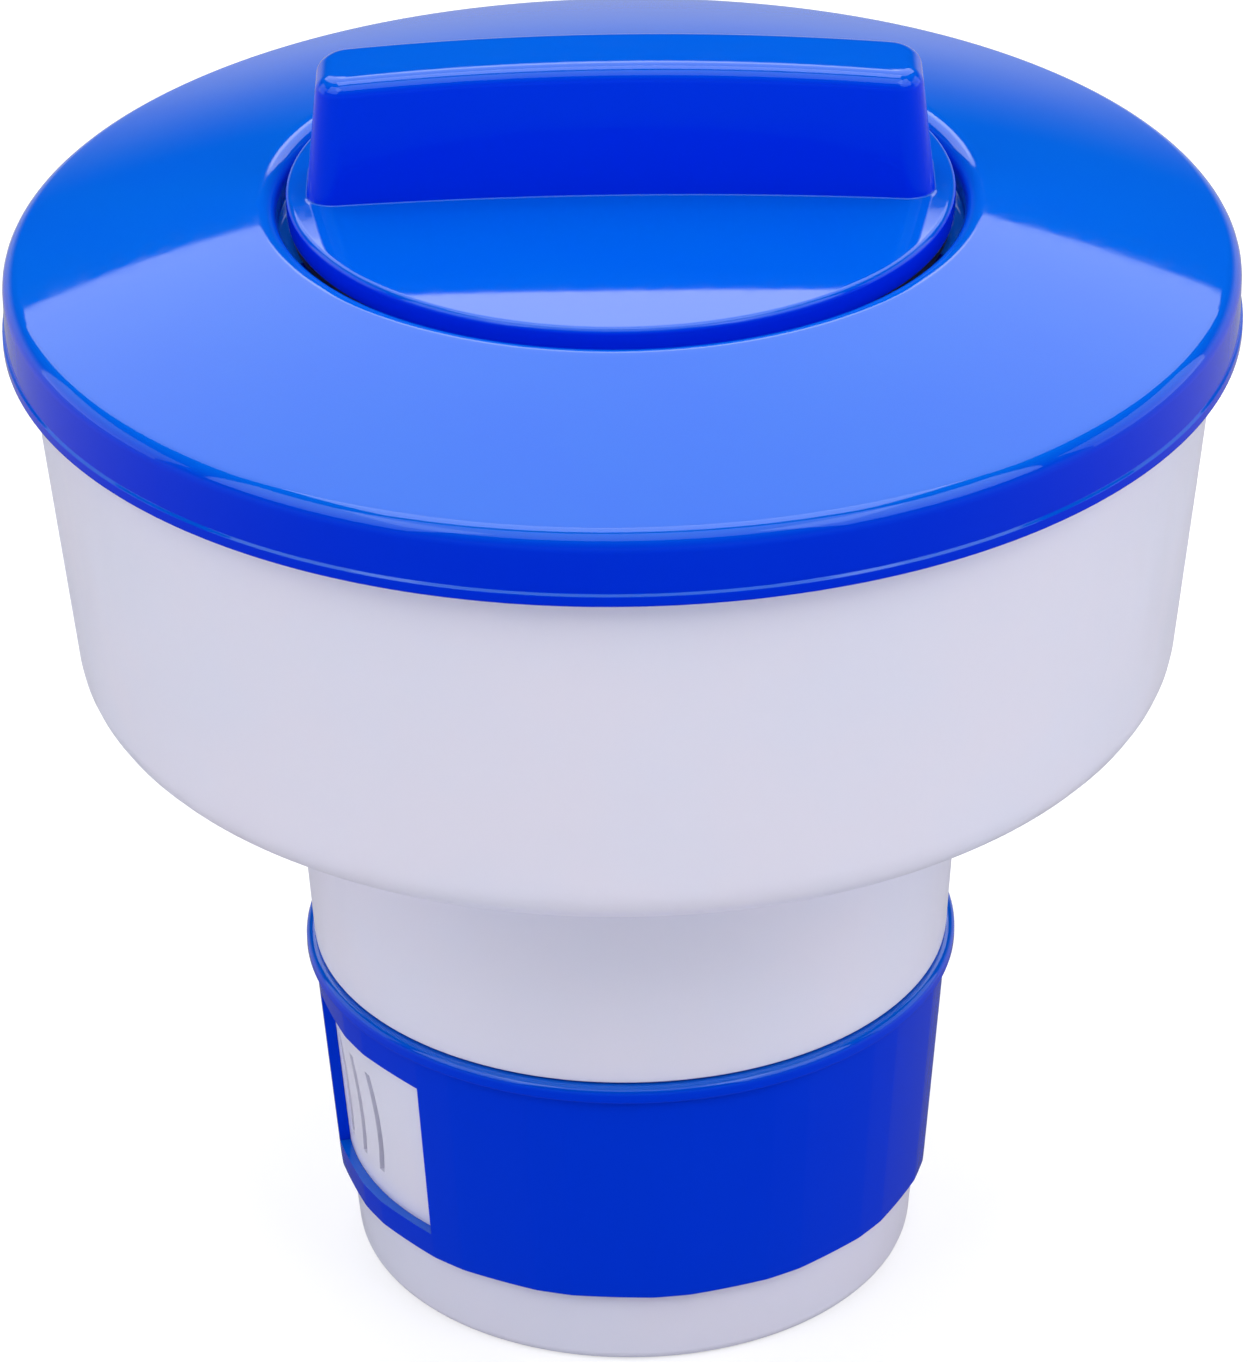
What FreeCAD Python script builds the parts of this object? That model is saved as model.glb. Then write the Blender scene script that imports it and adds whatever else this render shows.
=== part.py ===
"""Floating chlorine dispenser: a round float with a tablet canister below it.

Millimetres, +Z up. The origin is at the middle of the canister's foot. The grip
bar on the cap lies along X, and the front of the dispenser faces -Y.
"""
import FreeCAD, Part
import math
import os

from FreeCAD import Vector

os.makedirs("parts", exist_ok=True)

# ---- Driving dimensions -------------------------------------------------
COVER_RADIUS = 101.6            # an eight-inch float
SKIRT_BOTTOM_Z = 176.4
SHOULDER_Z = 188.1              # where the skirt and the top would meet
SHOULDER_FILLET = 3.6
COVER_WALL = 2.47               # measured straight down through the top
SKIRT_WALL = 2.6
BEAD_HEIGHT = 1.9               # thicker edge at the foot of the skirt
BEAD_STEP = 0.4
BEAD_EDGE = 0.6
SNAP_REACH = 0.65               # inward bead that catches the bowl's rim
SNAP_Z = (177.1, 177.7, 179.3, 179.9)
SEAL_SEAT_INNER = 94.6          # inner edge of the rim seal's seat
MOUTH_RADIUS = 56.0             # the recess that the cap sits in
MOUTH_Z = 199.1                 # where the top and the recess would meet
MOUTH_LIP = 3.0
TOP_BULGE = 1.1                 # the top is a shallow dome, not a straight cone
TOP_DOME_RADIUS = 400.0

BOWL_RIM_RADIUS = 97.74         # at the foot of the skirt
BOWL_FLOOR_Z = 112.0
BOWL_LOW_RADIUS = 91.3          # where wall and floor would meet
BOWL_FILLET = 9.0
BOWL_RIM_Z = 184.0
BOWL_WALL = 2.4
BOWL_BEAD = 0.35                # outward bead under the rim
BOWL_BEAD_Z = (180.0, 180.6, 182.4, 183.2)
BOWL_COLLAR_WALL = 2.4          # short tube that stands around the canister
BOWL_COLLAR_HEIGHT = 10.0

CANISTER_FOOT_RADIUS = 48.3
CANISTER_NECK_RADIUS = 57.8     # from the bowl's floor up
CANISTER_FILLET = 2.4
CANISTER_WALL = 2.4
CANISTER_TOP_Z = 183.0
FLOOR_Z = 3.6                   # upper face of the canister's floor
FOOT_RECESS = 1.2               # the floor stands clear inside the foot ring
FOOT_RING_INNER = 43.5
CANISTER_STOP_RADIUS = 54.5     # shoulder above the ring's seat
FLOOR_CORNER = 2.0
FLOOR_RIBS = 6
RIB_WIDTH = 2.0
RIB_HEIGHT = 2.5
RIB_REACH = (14.0, 43.0)        # from this radius to that one
FLOOR_SLIT_REACH = (18.0, 36.0)

RING_BOTTOM_Z = 15.3
RING_TOP_Z = 60.3
RING_BOTTOM_RADIUS = 51.5
RING_TOP_RADIUS = 55.0
RING_WALL = 1.8
LIP_RADIUS = 55.95
LIP_HEIGHT = 3.0
LIP_SLOPE = 0.6                 # the lip's underside slopes out of the sleeve
LIP_FOOT_EDGE = 0.5
LIP_TOP_EDGE = 1.4
FACET_PITCH = 22.5              # degrees: one wide and one narrow flat
NARROW_FLAT = 7.0               # degrees
NARROW_FLAT_PHASE = 276.9       # degrees: the middle of one narrow flat
WINDOW_MIDDLE = 209.0           # degrees: the second window is opposite
WINDOW_ARC = 38.0
WINDOW_BOTTOM_Z = 20.3
WINDOW_TOP_Z = 51.0

SLITS_PER_WINDOW = 5
SLIT_PITCH = 7.5                # degrees
FIRST_SLIT = 211.7              # degrees
SLIT_WIDTH = 1.7
SLIT_BOTTOM_Z = 25.0
SLIT_TOP_Z = 44.5
SLIT_CURVE = 34.0               # the slits are arcs that lean back towards their tops
SLIT_CURVE_Z = 32.2             # where an arc stands upright

RING_OPEN_TURN = 13.0           # degrees clockwise from the pose as built
RING_CLOSED_TURN = 23.0         # degrees anticlockwise
STOP_ANGLE = 299.0              # degrees: the second stop is opposite
STOP_ARC = 3.0
STOP_HEIGHT = 0.6
STOP_INSET = 8.0                # each stop rib ends this far from the ring's ends
STOP_MARGIN = 0.4               # degrees of play past each end of the turn

CAP_RADIUS = 54.5
CAP_EDGE_Z = 200.0
CAP_CROWN_Z = 201.8
CAP_UNDERSIDE_Z = 195.7
CAP_EDGE_FILLET = 1.0
CAP_WALL = 2.4
CAP_INNER_FILLET = 1.5
SPIGOT_RADIUS = 51.4
SPIGOT_WALL = 2.2
SPIGOT_BOTTOM_Z = 185.6
SPIGOT_EDGE = 0.5
LUG_COUNT = 3
LUG_RADIUS = 54.2
LUG_ARC = 24.0
LUG_TOP_Z = 190.3
LUG_BOTTOM_Z = 187.6

HANDLE_LENGTH = 102.0           # at the cap's face
HANDLE_WIDTH = 19.0
HANDLE_TOP_LENGTH = 97.0
HANDLE_TOP_WIDTH = 15.6
HANDLE_TOP_Z = 223.4
HANDLE_END_DROP = 3.0           # the top is arched along its length
HANDLE_END_FILLET = 5.0
HANDLE_TOP_FILLET = 2.8
HANDLE_WALL = 2.2
ARCH_MARGIN = 2.0               # the arch is drawn this far past each end

FLANGE_RADIUS = 51.9            # inner edge of the ledge that the lugs go under
FLANGE_TOP_Z = 193.0
FLANGE_BOTTOM_Z = 190.5
COLLAR_BORE = 54.8
COLLAR_OUTER = 60.3
COLLAR_SEAT_Z = 184.5
COLLAR_BOTTOM_Z = 179.0

SEAL_WIDTH = 2.2
SEAL_INSET = 2.3                # from a wall's outer face to the seal's inner edge
SEAL_HEIGHT = 1.5
CAP_SEAL_CORD = 2.5
RUNNING_GAP = 0.05
COLLAR_GAP = 0.1
GATE_MARGIN = 2.0               # degrees of room at each end of a lug in its gate
LOOSE_GAP = 0.3
FOAM_GAP = 1.0
FOAM_EDGE = 2.0
FOAM_TOP_EDGE = 3.0

FINE_EDGE = 0.2                 # small radii that break the moulded edges
SOFT_EDGE = 0.3
ROUND_EDGE = 0.4
OVERLAP = 1.0                   # how far cutters and joined blocks run past a face


# ---- Helpers ------------------------------------------------------------
def cone_radius(low, high, z):
    """Radius at height z on the straight line through two (radius, z) points."""
    share = (z - low[1]) / (high[1] - low[1])
    return low[0] + (high[0] - low[0]) * share


def polar(radius, degrees, z=0.0):
    """Point at a radius and an angle from +X."""
    angle = math.radians(degrees)
    return Vector(radius * math.cos(angle), radius * math.sin(angle), z)


def rounded_wire(corners):
    """Closed wire through (point, fillet radius) corners, with tangent arcs."""
    edges = []
    starts = []
    ends = []
    count = len(corners)
    for index, (corner, fillet) in enumerate(corners):
        before = (corners[index - 1][0] - corner).normalize()
        after = (corners[(index + 1) % count][0] - corner).normalize()
        half = before.getAngle(after) / 2
        if fillet == 0:
            starts.append(corner)
            ends.append(corner)
            edges.append(None)
            continue
        reach = fillet / math.tan(half)
        middle = (before + after).normalize() * (fillet / math.sin(half) - fillet)
        starts.append(corner + before * reach)
        ends.append(corner + after * reach)
        edges.append(Part.Arc(starts[-1], corner + middle, ends[-1]).toShape())
    path = []
    for index in range(count):
        if edges[index]:
            path.append(edges[index])
        following = starts[(index + 1) % count]
        if (following - ends[index]).Length > 1e-6:
            path.append(Part.LineSegment(ends[index], following).toShape())
    return Part.Wire(path)


def lathe(profile):
    """Solid of revolution from (radius, z) or (radius, z, fillet) corners."""
    corners = []
    for radius, z, *fillet in profile:
        corners.append((Vector(radius, 0, z), fillet[0] if fillet else 0))
    face = Part.Face(rounded_wire(corners))
    return face.revolve(Vector(0, 0, 0), Vector(0, 0, 1), 360)


def sector(inner, outer, low, high, middle, arc):
    """Block between two radii and two heights, over an arc in degrees."""
    start = middle - arc / 2
    end = middle + arc / 2
    edges = [
        Part.Arc(polar(outer, start, low), polar(outer, middle, low), polar(outer, end, low)).toShape(),
        Part.LineSegment(polar(outer, end, low), polar(inner, end, low)).toShape(),
        Part.Arc(polar(inner, end, low), polar(inner, middle, low), polar(inner, start, low)).toShape(),
        Part.LineSegment(polar(inner, start, low), polar(outer, start, low)).toShape(),
    ]
    return Part.Face(Part.Wire(edges)).extrude(Vector(0, 0, high - low))


def spoke(inner, outer, width, low, high, degrees):
    """Straight bar that runs outwards from one radius to another."""
    bar = Part.makeBox(outer - inner, width, high - low, Vector(inner, -width / 2, low))
    bar.rotate(Vector(0, 0, 0), Vector(0, 0, 1), degrees)
    return bar


def curved_slit(degrees):
    """Cutter through the canister's wall that follows an arc."""
    reach = THROUGH_WALL[1] - THROUGH_WALL[0]
    middle = Vector(THROUGH_WALL[0], -SLIT_CURVE, SLIT_CURVE_Z)
    arc = Part.makeCylinder(SLIT_CURVE + SLIT_WIDTH / 2, reach, middle, Vector(1, 0, 0))
    arc = arc.cut(Part.makeCylinder(SLIT_CURVE - SLIT_WIDTH / 2, reach, middle, Vector(1, 0, 0)))
    height = SLIT_TOP_Z - SLIT_BOTTOM_Z
    band = Part.makeBox(reach, SLIT_CURVE, height, Vector(THROUGH_WALL[0], -SLIT_CURVE / 2, SLIT_BOTTOM_Z))
    cutter = arc.common(band)
    cutter.rotate(Vector(0, 0, 0), Vector(0, 0, 1), degrees)
    return cutter


def lug_angle(step):
    """Middle of one of the cap's lugs, and of its gate in the cover."""
    return 90 + step * 360 / LUG_COUNT


def both_sides(degrees):
    """An angle and the one opposite it."""
    return (degrees, degrees + 180)


# ---- Lines that several pieces share --------------------------------------
THROUGH_WALL = (40.0, 70.0)     # radii that cross the canister's and the ring's walls
CANISTER_LOW = (CANISTER_FOOT_RADIUS, 0.0)
CANISTER_HIGH = (CANISTER_NECK_RADIUS, BOWL_FLOOR_Z)
RING_LOW = (RING_BOTTOM_RADIUS, RING_BOTTOM_Z)
RING_HIGH = (RING_TOP_RADIUS, RING_TOP_Z)
BOWL_LOW = (BOWL_LOW_RADIUS, BOWL_FLOOR_Z)
BOWL_HIGH = (BOWL_RIM_RADIUS, SKIRT_BOTTOM_Z)
TOP_OUTER = (COVER_RADIUS - BEAD_STEP, SHOULDER_Z)
TOP_INNER = (MOUTH_RADIUS, MOUTH_Z)


def canister_radius(z):
    return cone_radius(CANISTER_LOW, CANISTER_HIGH, z)


def ring_radius(z):
    return cone_radius(RING_LOW, RING_HIGH, z)


def bowl_radius(z):
    return cone_radius(BOWL_LOW, BOWL_HIGH, z)


TOP_MIDDLE = (
    (TOP_OUTER[0] + TOP_INNER[0]) / 2,
    (TOP_OUTER[1] + TOP_INNER[1]) / 2 + TOP_BULGE,
)


def cover_top_z(radius):
    """Height of the straight lines that the domed top is drawn on."""
    far = TOP_OUTER if radius > TOP_MIDDLE[0] else TOP_INNER
    share = (radius - TOP_MIDDLE[0]) / (far[0] - TOP_MIDDLE[0])
    return TOP_MIDDLE[1] + (far[1] - TOP_MIDDLE[1]) * share


# ---- White mouldings ------------------------------------------------------
def make_canister():
    """Tapered cup with a shoulder above the ring's seat, slits and a ribbed floor."""
    seat_low = RING_BOTTOM_Z - LOOSE_GAP
    seat_high = RING_TOP_Z + LOOSE_GAP
    seat = RING_WALL + RUNNING_GAP
    wall = CANISTER_WALL
    cup = lathe([
        (0, FOOT_RECESS),
        (FOOT_RING_INNER, FOOT_RECESS, ROUND_EDGE),
        (FOOT_RING_INNER + 1, 0, ROUND_EDGE),
        (CANISTER_FOOT_RADIUS, 0, CANISTER_FILLET),
        (ring_radius(seat_low) - seat, seat_low),
        (ring_radius(seat_high) - seat, seat_high),
        (CANISTER_STOP_RADIUS, seat_high, ROUND_EDGE),
        CANISTER_HIGH,
        (CANISTER_NECK_RADIUS, CANISTER_TOP_Z, ROUND_EDGE),
        (CANISTER_NECK_RADIUS - wall, CANISTER_TOP_Z, ROUND_EDGE),
        (CANISTER_NECK_RADIUS - wall, BOWL_FLOOR_Z),
        (canister_radius(FLOOR_Z) - wall, FLOOR_Z, FLOOR_CORNER),
        (0, FLOOR_Z),
    ])
    ribs = []
    rib_pitch = 360 / FLOOR_RIBS
    rib_low = FLOOR_Z - OVERLAP / 2
    rib_high = FLOOR_Z + RIB_HEIGHT
    for step in range(FLOOR_RIBS):
        ribs.append(spoke(*RIB_REACH, RIB_WIDTH, rib_low, rib_high, rib_pitch * step))
    for angle in both_sides(STOP_ANGLE):
        low = RING_BOTTOM_Z + STOP_INSET
        high = RING_TOP_Z - STOP_INSET
        radius = ring_radius(low) - seat
        block = sector(radius - OVERLAP, radius + 6 * OVERLAP, low, high, angle, STOP_ARC)
        ribs.append(block.common(seat_envelope(STOP_HEIGHT)))
    cup = cup.fuse(ribs)
    cuts = []
    for side in both_sides(FIRST_SLIT):
        for step in range(SLITS_PER_WINDOW):
            cuts.append(curved_slit(side - SLIT_PITCH * step))
    for step in range(FLOOR_RIBS):
        angle = rib_pitch * (step + 0.5)
        cuts.append(spoke(*FLOOR_SLIT_REACH, SLIT_WIDTH, -OVERLAP, FLOOR_Z + OVERLAP, angle))
    return cup.cut(cuts)


def seat_envelope(height):
    """Everything inside a cone that stands a height above the ring's seat."""
    reach = RING_WALL + RUNNING_GAP - height
    return lathe([
        (0, RING_BOTTOM_Z),
        (RING_BOTTOM_RADIUS - reach, RING_BOTTOM_Z),
        (RING_TOP_RADIUS - reach, RING_TOP_Z),
        (0, RING_TOP_Z),
    ])


def make_float_bowl():
    """Open bowl with a hole in its floor for the canister."""
    hole = CANISTER_NECK_RADIUS
    collar = hole + BOWL_COLLAR_WALL
    wall = BOWL_WALL
    rim = bowl_radius(BOWL_RIM_Z)
    bead_start, bead_low, bead_high, bead_end = BOWL_BEAD_Z
    floor_top = BOWL_FLOOR_Z + wall
    collar_top = floor_top + BOWL_COLLAR_HEIGHT
    return lathe([
        (hole, BOWL_FLOOR_Z, SOFT_EDGE),
        (BOWL_LOW_RADIUS, BOWL_FLOOR_Z, BOWL_FILLET),
        (bowl_radius(bead_start), bead_start, SOFT_EDGE),
        (rim + BOWL_BEAD, bead_low, FINE_EDGE),
        (rim + BOWL_BEAD, bead_high, FINE_EDGE),
        (rim, bead_end, SOFT_EDGE),
        (rim, BOWL_RIM_Z, SOFT_EDGE),
        (rim - wall, BOWL_RIM_Z, SOFT_EDGE),
        (bowl_radius(floor_top) - wall, floor_top, BOWL_FILLET - wall),
        (collar, floor_top, 1.0),
        (collar, collar_top, ROUND_EDGE),
        (hole, collar_top, ROUND_EDGE),
    ])


# ---- Blue mouldings -------------------------------------------------------
def make_float_cover():
    """Cover with a snap-on skirt, a mouth for the cap and a collar below it."""
    skirt = COVER_RADIUS - SKIRT_WALL
    bead_top = SKIRT_BOTTOM_Z + BEAD_HEIGHT
    snap_start, snap_low, snap_high, snap_end = SNAP_Z
    seal_seat_z = BOWL_RIM_Z + SEAL_HEIGHT
    collar_inner = CANISTER_NECK_RADIUS + COLLAR_GAP
    body = lathe([
        (COVER_RADIUS, SKIRT_BOTTOM_Z, BEAD_EDGE),
        (COVER_RADIUS, bead_top, SOFT_EDGE),
        (COVER_RADIUS - BEAD_STEP, bead_top + BEAD_STEP, SOFT_EDGE),
        (TOP_OUTER[0], TOP_OUTER[1], SHOULDER_FILLET),
        (TOP_MIDDLE[0], TOP_MIDDLE[1], TOP_DOME_RADIUS),
        (TOP_INNER[0], TOP_INNER[1], MOUTH_LIP),
        (MOUTH_RADIUS, FLANGE_TOP_Z, SOFT_EDGE),
        (FLANGE_RADIUS, FLANGE_TOP_Z, SOFT_EDGE),
        (FLANGE_RADIUS, FLANGE_BOTTOM_Z, SOFT_EDGE),
        (COLLAR_BORE, FLANGE_BOTTOM_Z),
        (COLLAR_BORE, COLLAR_SEAT_Z, FINE_EDGE),
        (collar_inner, COLLAR_SEAT_Z),
        (collar_inner, COLLAR_BOTTOM_Z, SOFT_EDGE),
        (COLLAR_OUTER, COLLAR_BOTTOM_Z, ROUND_EDGE),
        (COLLAR_OUTER, cover_top_z(COLLAR_OUTER) - COVER_WALL, 1.5),
        (TOP_MIDDLE[0], TOP_MIDDLE[1] - COVER_WALL, TOP_DOME_RADIUS / 2),
        (SEAL_SEAT_INNER, cover_top_z(SEAL_SEAT_INNER) - COVER_WALL, 0.5),
        (SEAL_SEAT_INNER, seal_seat_z),
        (skirt, seal_seat_z, FINE_EDGE),
        (skirt, snap_end, FINE_EDGE),
        (skirt - SNAP_REACH, snap_high, FINE_EDGE),
        (skirt - SNAP_REACH, snap_low, FINE_EDGE),
        (skirt, snap_start, FINE_EDGE),
        (skirt, SKIRT_BOTTOM_Z, SOFT_EDGE),
    ])
    gates = []
    for step in range(LUG_COUNT):
        gates.append(sector(FLANGE_RADIUS - 2 * OVERLAP, COLLAR_BORE - COLLAR_GAP,
                            FLANGE_BOTTOM_Z - OVERLAP, FLANGE_TOP_Z + OVERLAP,
                            lug_angle(step), LUG_ARC + 2 * GATE_MARGIN))
    return body.cut(gates)


def faceted_cone(low, high, extra):
    """Tapered prism around the ring, with alternate wide and narrow flats."""
    rings = []
    for z in (low, high):
        corners = []
        outer = (ring_radius(z) + extra) / math.cos(math.radians(FACET_PITCH - NARROW_FLAT) / 4)
        for step in range(round(360 / FACET_PITCH)):
            middle = NARROW_FLAT_PHASE + step * FACET_PITCH
            corners.append(polar(outer, middle - NARROW_FLAT / 2, z))
            corners.append(polar(outer, middle + NARROW_FLAT / 2, z))
        rings.append(Part.makePolygon(corners + corners[:1]))
    return Part.makeLoft(rings, True, True)


def make_control_ring():
    """Sleeve with a lip, a faceted outside, two windows and two stop pockets."""
    wall = RING_WALL
    lip_foot = RING_TOP_Z - LIP_HEIGHT
    lip_step = RING_TOP_RADIUS - wall
    outside = faceted_cone(RING_BOTTOM_Z, RING_TOP_Z, 0)
    lip = lathe([
        (lip_step, lip_foot - LIP_SLOPE),
        (ring_radius(lip_foot) - LIP_SLOPE, lip_foot - LIP_SLOPE),
        (LIP_RADIUS, lip_foot + FINE_EDGE, LIP_FOOT_EDGE),
        (LIP_RADIUS, RING_TOP_Z, LIP_TOP_EDGE),
        (lip_step, RING_TOP_Z),
    ])
    below = RING_BOTTOM_Z - OVERLAP
    above = RING_TOP_Z + OVERLAP
    bore = lathe([
        (0, below),
        (ring_radius(below) - wall, below),
        (ring_radius(above) - wall, above),
        (0, above),
    ])
    cuts = [bore]
    for angle in both_sides(WINDOW_MIDDLE):
        cuts.append(sector(*THROUGH_WALL, WINDOW_BOTTOM_Z, WINDOW_TOP_Z, angle, WINDOW_ARC))
    travel = RING_OPEN_TURN + RING_CLOSED_TURN
    pocket_arc = travel + STOP_ARC + 2 * STOP_MARGIN
    pocket_offset = (RING_OPEN_TURN - RING_CLOSED_TURN) / 2
    pocket_inset = STOP_INSET - 0.5
    for angle in both_sides(STOP_ANGLE + pocket_offset):
        pocket = sector(*THROUGH_WALL, RING_BOTTOM_Z + pocket_inset, RING_TOP_Z - pocket_inset,
                        angle, pocket_arc)
        cuts.append(pocket.common(seat_envelope(STOP_HEIGHT + FINE_EDGE)))
    return outside.fuse(lip).cut(cuts)


def handle_block(shrink, low, top_drop):
    """Tapered bar with rounded ends; shrink insets its sides and its ends."""
    above = HANDLE_TOP_Z + 3
    base = (HANDLE_LENGTH, CAP_EDGE_Z)
    base_width = (HANDLE_WIDTH, CAP_EDGE_Z)
    rings = []
    for z in (CAP_EDGE_Z, above):
        length = cone_radius(base, (HANDLE_TOP_LENGTH, HANDLE_TOP_Z), z)
        width = cone_radius(base_width, (HANDLE_TOP_WIDTH, HANDLE_TOP_Z), z)
        half_x = length / 2 - shrink
        half_y = width / 2 - shrink
        fillet = HANDLE_END_FILLET - min(shrink, 3)
        corners = []
        for x, y in ((half_x, half_y), (-half_x, half_y), (-half_x, -half_y), (half_x, -half_y)):
            corners.append((Vector(x, y, z), fillet))
        rings.append(rounded_wire(corners))
    bar = Part.makeLoft(rings, True, True)
    foot = rings[0].copy()
    foot.translate(Vector(0, 0, low - CAP_EDGE_Z))
    bar = bar.fuse(Part.Face(foot).extrude(Vector(0, 0, CAP_EDGE_Z - low)))
    half = HANDLE_LENGTH / 2 + ARCH_MARGIN
    arch_end = HANDLE_TOP_Z - HANDLE_END_DROP - top_drop
    arch_top = HANDLE_TOP_Z - top_drop
    arch = Part.Arc(Vector(-half, 0, arch_end), Vector(0, 0, arch_top), Vector(half, 0, arch_end))
    edges = [
        arch.toShape(),
        Part.LineSegment(Vector(half, 0, arch_end), Vector(half, 0, low)).toShape(),
        Part.LineSegment(Vector(half, 0, low), Vector(-half, 0, low)).toShape(),
        Part.LineSegment(Vector(-half, 0, low), Vector(-half, 0, arch_end)).toShape(),
    ]
    side = Part.Face(Part.Wire(edges))
    side.translate(Vector(0, -HANDLE_WIDTH, 0))
    return bar.common(side.extrude(Vector(0, 2 * HANDLE_WIDTH, 0)))


def crown_sphere():
    """Ball whose top is the cap's low dome."""
    rise = CAP_CROWN_Z - CAP_EDGE_Z
    radius = (CAP_RADIUS ** 2 + rise ** 2) / (2 * rise)
    return Part.makeSphere(radius, Vector(0, 0, CAP_CROWN_Z - radius))


def top_edges(bar, z):
    """The edges around the arched top of a bar."""
    found = []
    for edge in bar.Edges:
        box = edge.BoundBox
        if box.ZMin > z:
            found.append(edge)
    return found


def make_cap():
    """Domed disc with a hollow grip bar, and a spigot with bayonet lugs."""
    disc = lathe([
        (0, CAP_UNDERSIDE_Z),
        (CAP_RADIUS, CAP_UNDERSIDE_Z, ROUND_EDGE),
        (CAP_RADIUS, CAP_EDGE_Z, CAP_EDGE_FILLET),
        (CAP_RADIUS - 6, CAP_EDGE_Z + SOFT_EDGE),
        (0, CAP_CROWN_Z + FINE_EDGE),
    ])
    disc = disc.common(crown_sphere())
    spigot_inner = SPIGOT_RADIUS - SPIGOT_WALL
    ceiling = CAP_EDGE_Z - CAP_WALL
    spigot = lathe([
        (spigot_inner, SPIGOT_BOTTOM_Z, SPIGOT_EDGE),
        (SPIGOT_RADIUS, SPIGOT_BOTTOM_Z, SPIGOT_EDGE),
        (SPIGOT_RADIUS, CAP_UNDERSIDE_Z + OVERLAP / 2),
        (spigot_inner, CAP_UNDERSIDE_Z + OVERLAP / 2),
    ])
    grip = handle_block(0, CAP_UNDERSIDE_Z + OVERLAP, 0)
    grip = grip.makeFillet(HANDLE_TOP_FILLET, top_edges(grip, HANDLE_TOP_Z - HANDLE_END_DROP - 1))
    lugs = []
    for step in range(LUG_COUNT):
        lugs.append(sector(SPIGOT_RADIUS - OVERLAP, LUG_RADIUS, LUG_BOTTOM_Z, LUG_TOP_Z,
                           lug_angle(step), LUG_ARC))
    solid = disc.fuse([spigot, grip] + lugs)
    under_disc = lathe([
        (0, SPIGOT_BOTTOM_Z),
        (spigot_inner, SPIGOT_BOTTOM_Z),
        (spigot_inner, ceiling, CAP_INNER_FILLET),
        (0, ceiling),
    ])
    inside_grip = handle_block(HANDLE_WALL, ceiling - OVERLAP, HANDLE_WALL)
    return solid.cut([under_disc, inside_grip])


# ---- Foam and seals --------------------------------------------------------
def make_foam_float():
    """Ring of closed-cell foam that fills the float."""
    wall = BOWL_WALL + FOAM_GAP
    low = BOWL_FLOOR_Z + wall
    high = COLLAR_BOTTOM_Z - 1.5
    inner = COLLAR_OUTER + LOOSE_GAP
    return lathe([
        (inner, low, FOAM_EDGE),
        (bowl_radius(low) - wall, low, BOWL_FILLET),
        (bowl_radius(high) - wall, high, FOAM_TOP_EDGE),
        (inner, high, FOAM_EDGE),
    ])


def make_flat_seal(inner, low, high):
    """Flat ring of square section."""
    return lathe([
        (inner, low),
        (inner + SEAL_WIDTH, low),
        (inner + SEAL_WIDTH, high),
        (inner, high),
    ])


def make_cap_seal():
    """O-ring around the spigot, resting on the collar's ledge."""
    section = CAP_SEAL_CORD / 2
    middle = SPIGOT_RADIUS + section + RUNNING_GAP
    ring = Part.makeTorus(middle, section)
    ring.translate(Vector(0, 0, FLANGE_TOP_Z + section + RUNNING_GAP))
    return ring


# ---- Export ----------------------------------------------------------------
PIECES = {
    "canister": make_canister(),
    "float_bowl": make_float_bowl(),
    "float_cover": make_float_cover(),
    "foam_float": make_foam_float(),
    "rim_seal": make_flat_seal(bowl_radius(BOWL_RIM_Z) - SEAL_INSET, BOWL_RIM_Z, BOWL_RIM_Z + SEAL_HEIGHT),
    "neck_seal": make_flat_seal(CANISTER_NECK_RADIUS - SEAL_INSET, CANISTER_TOP_Z, COLLAR_SEAT_Z),
    "control_ring": make_control_ring(),
    "cap": make_cap(),
    "cap_seal": make_cap_seal(),
}

for name, shape in PIECES.items():
    solids = shape.Solids
    if len(solids) != 1 or not shape.isValid():
        raise RuntimeError("%s: %d solids, valid %s" % (name, len(solids), shape.isValid()))
    solids[0].exportStep("parts/%s.step" % name)
    box = solids[0].optimalBoundingBox()
    print("%-13s %9.1f mm3  z %6.1f to %6.1f  x %6.1f" % (
        name, solids[0].Volume, box.ZMin, box.ZMax, box.XMax))
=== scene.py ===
"""Floating chlorine dispenser: the visible pieces, materials, light and camera.

Metres, +Z up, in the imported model's own frame. The grip bar lies along X and
the front of the dispenser faces -Y. Angles are in degrees.
"""
import math

import bmesh
import bpy
from mathutils import Matrix, Vector


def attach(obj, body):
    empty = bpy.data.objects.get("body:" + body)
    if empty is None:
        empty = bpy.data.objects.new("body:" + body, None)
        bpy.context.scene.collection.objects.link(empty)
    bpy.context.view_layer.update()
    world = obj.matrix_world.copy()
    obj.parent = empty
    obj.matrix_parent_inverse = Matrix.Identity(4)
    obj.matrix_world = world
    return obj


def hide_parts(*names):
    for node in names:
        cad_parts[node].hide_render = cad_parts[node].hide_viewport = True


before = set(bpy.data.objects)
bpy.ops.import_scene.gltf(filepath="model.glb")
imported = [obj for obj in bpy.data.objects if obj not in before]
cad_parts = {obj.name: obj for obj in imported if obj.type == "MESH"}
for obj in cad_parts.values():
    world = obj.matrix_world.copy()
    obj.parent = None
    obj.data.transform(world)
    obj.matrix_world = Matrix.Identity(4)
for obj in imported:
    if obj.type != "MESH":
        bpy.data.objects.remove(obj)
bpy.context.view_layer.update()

MM = 0.001

# ---- Sizes ------------------------------------------------------------------
# Shared: how round an edge is, the room between parts that fit, how abruptly a
# wall steps, and how far a cutting or joining block reaches past a face.
FINE_EDGE = 0.2 * MM
SOFT_EDGE = 0.3 * MM
ROUND_EDGE = 0.4 * MM
CLEARANCE = 0.1 * MM
STEP_ARC = 0.06
STEP_RISE = 0.06 * MM
OVERLAP = 1.0 * MM

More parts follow.
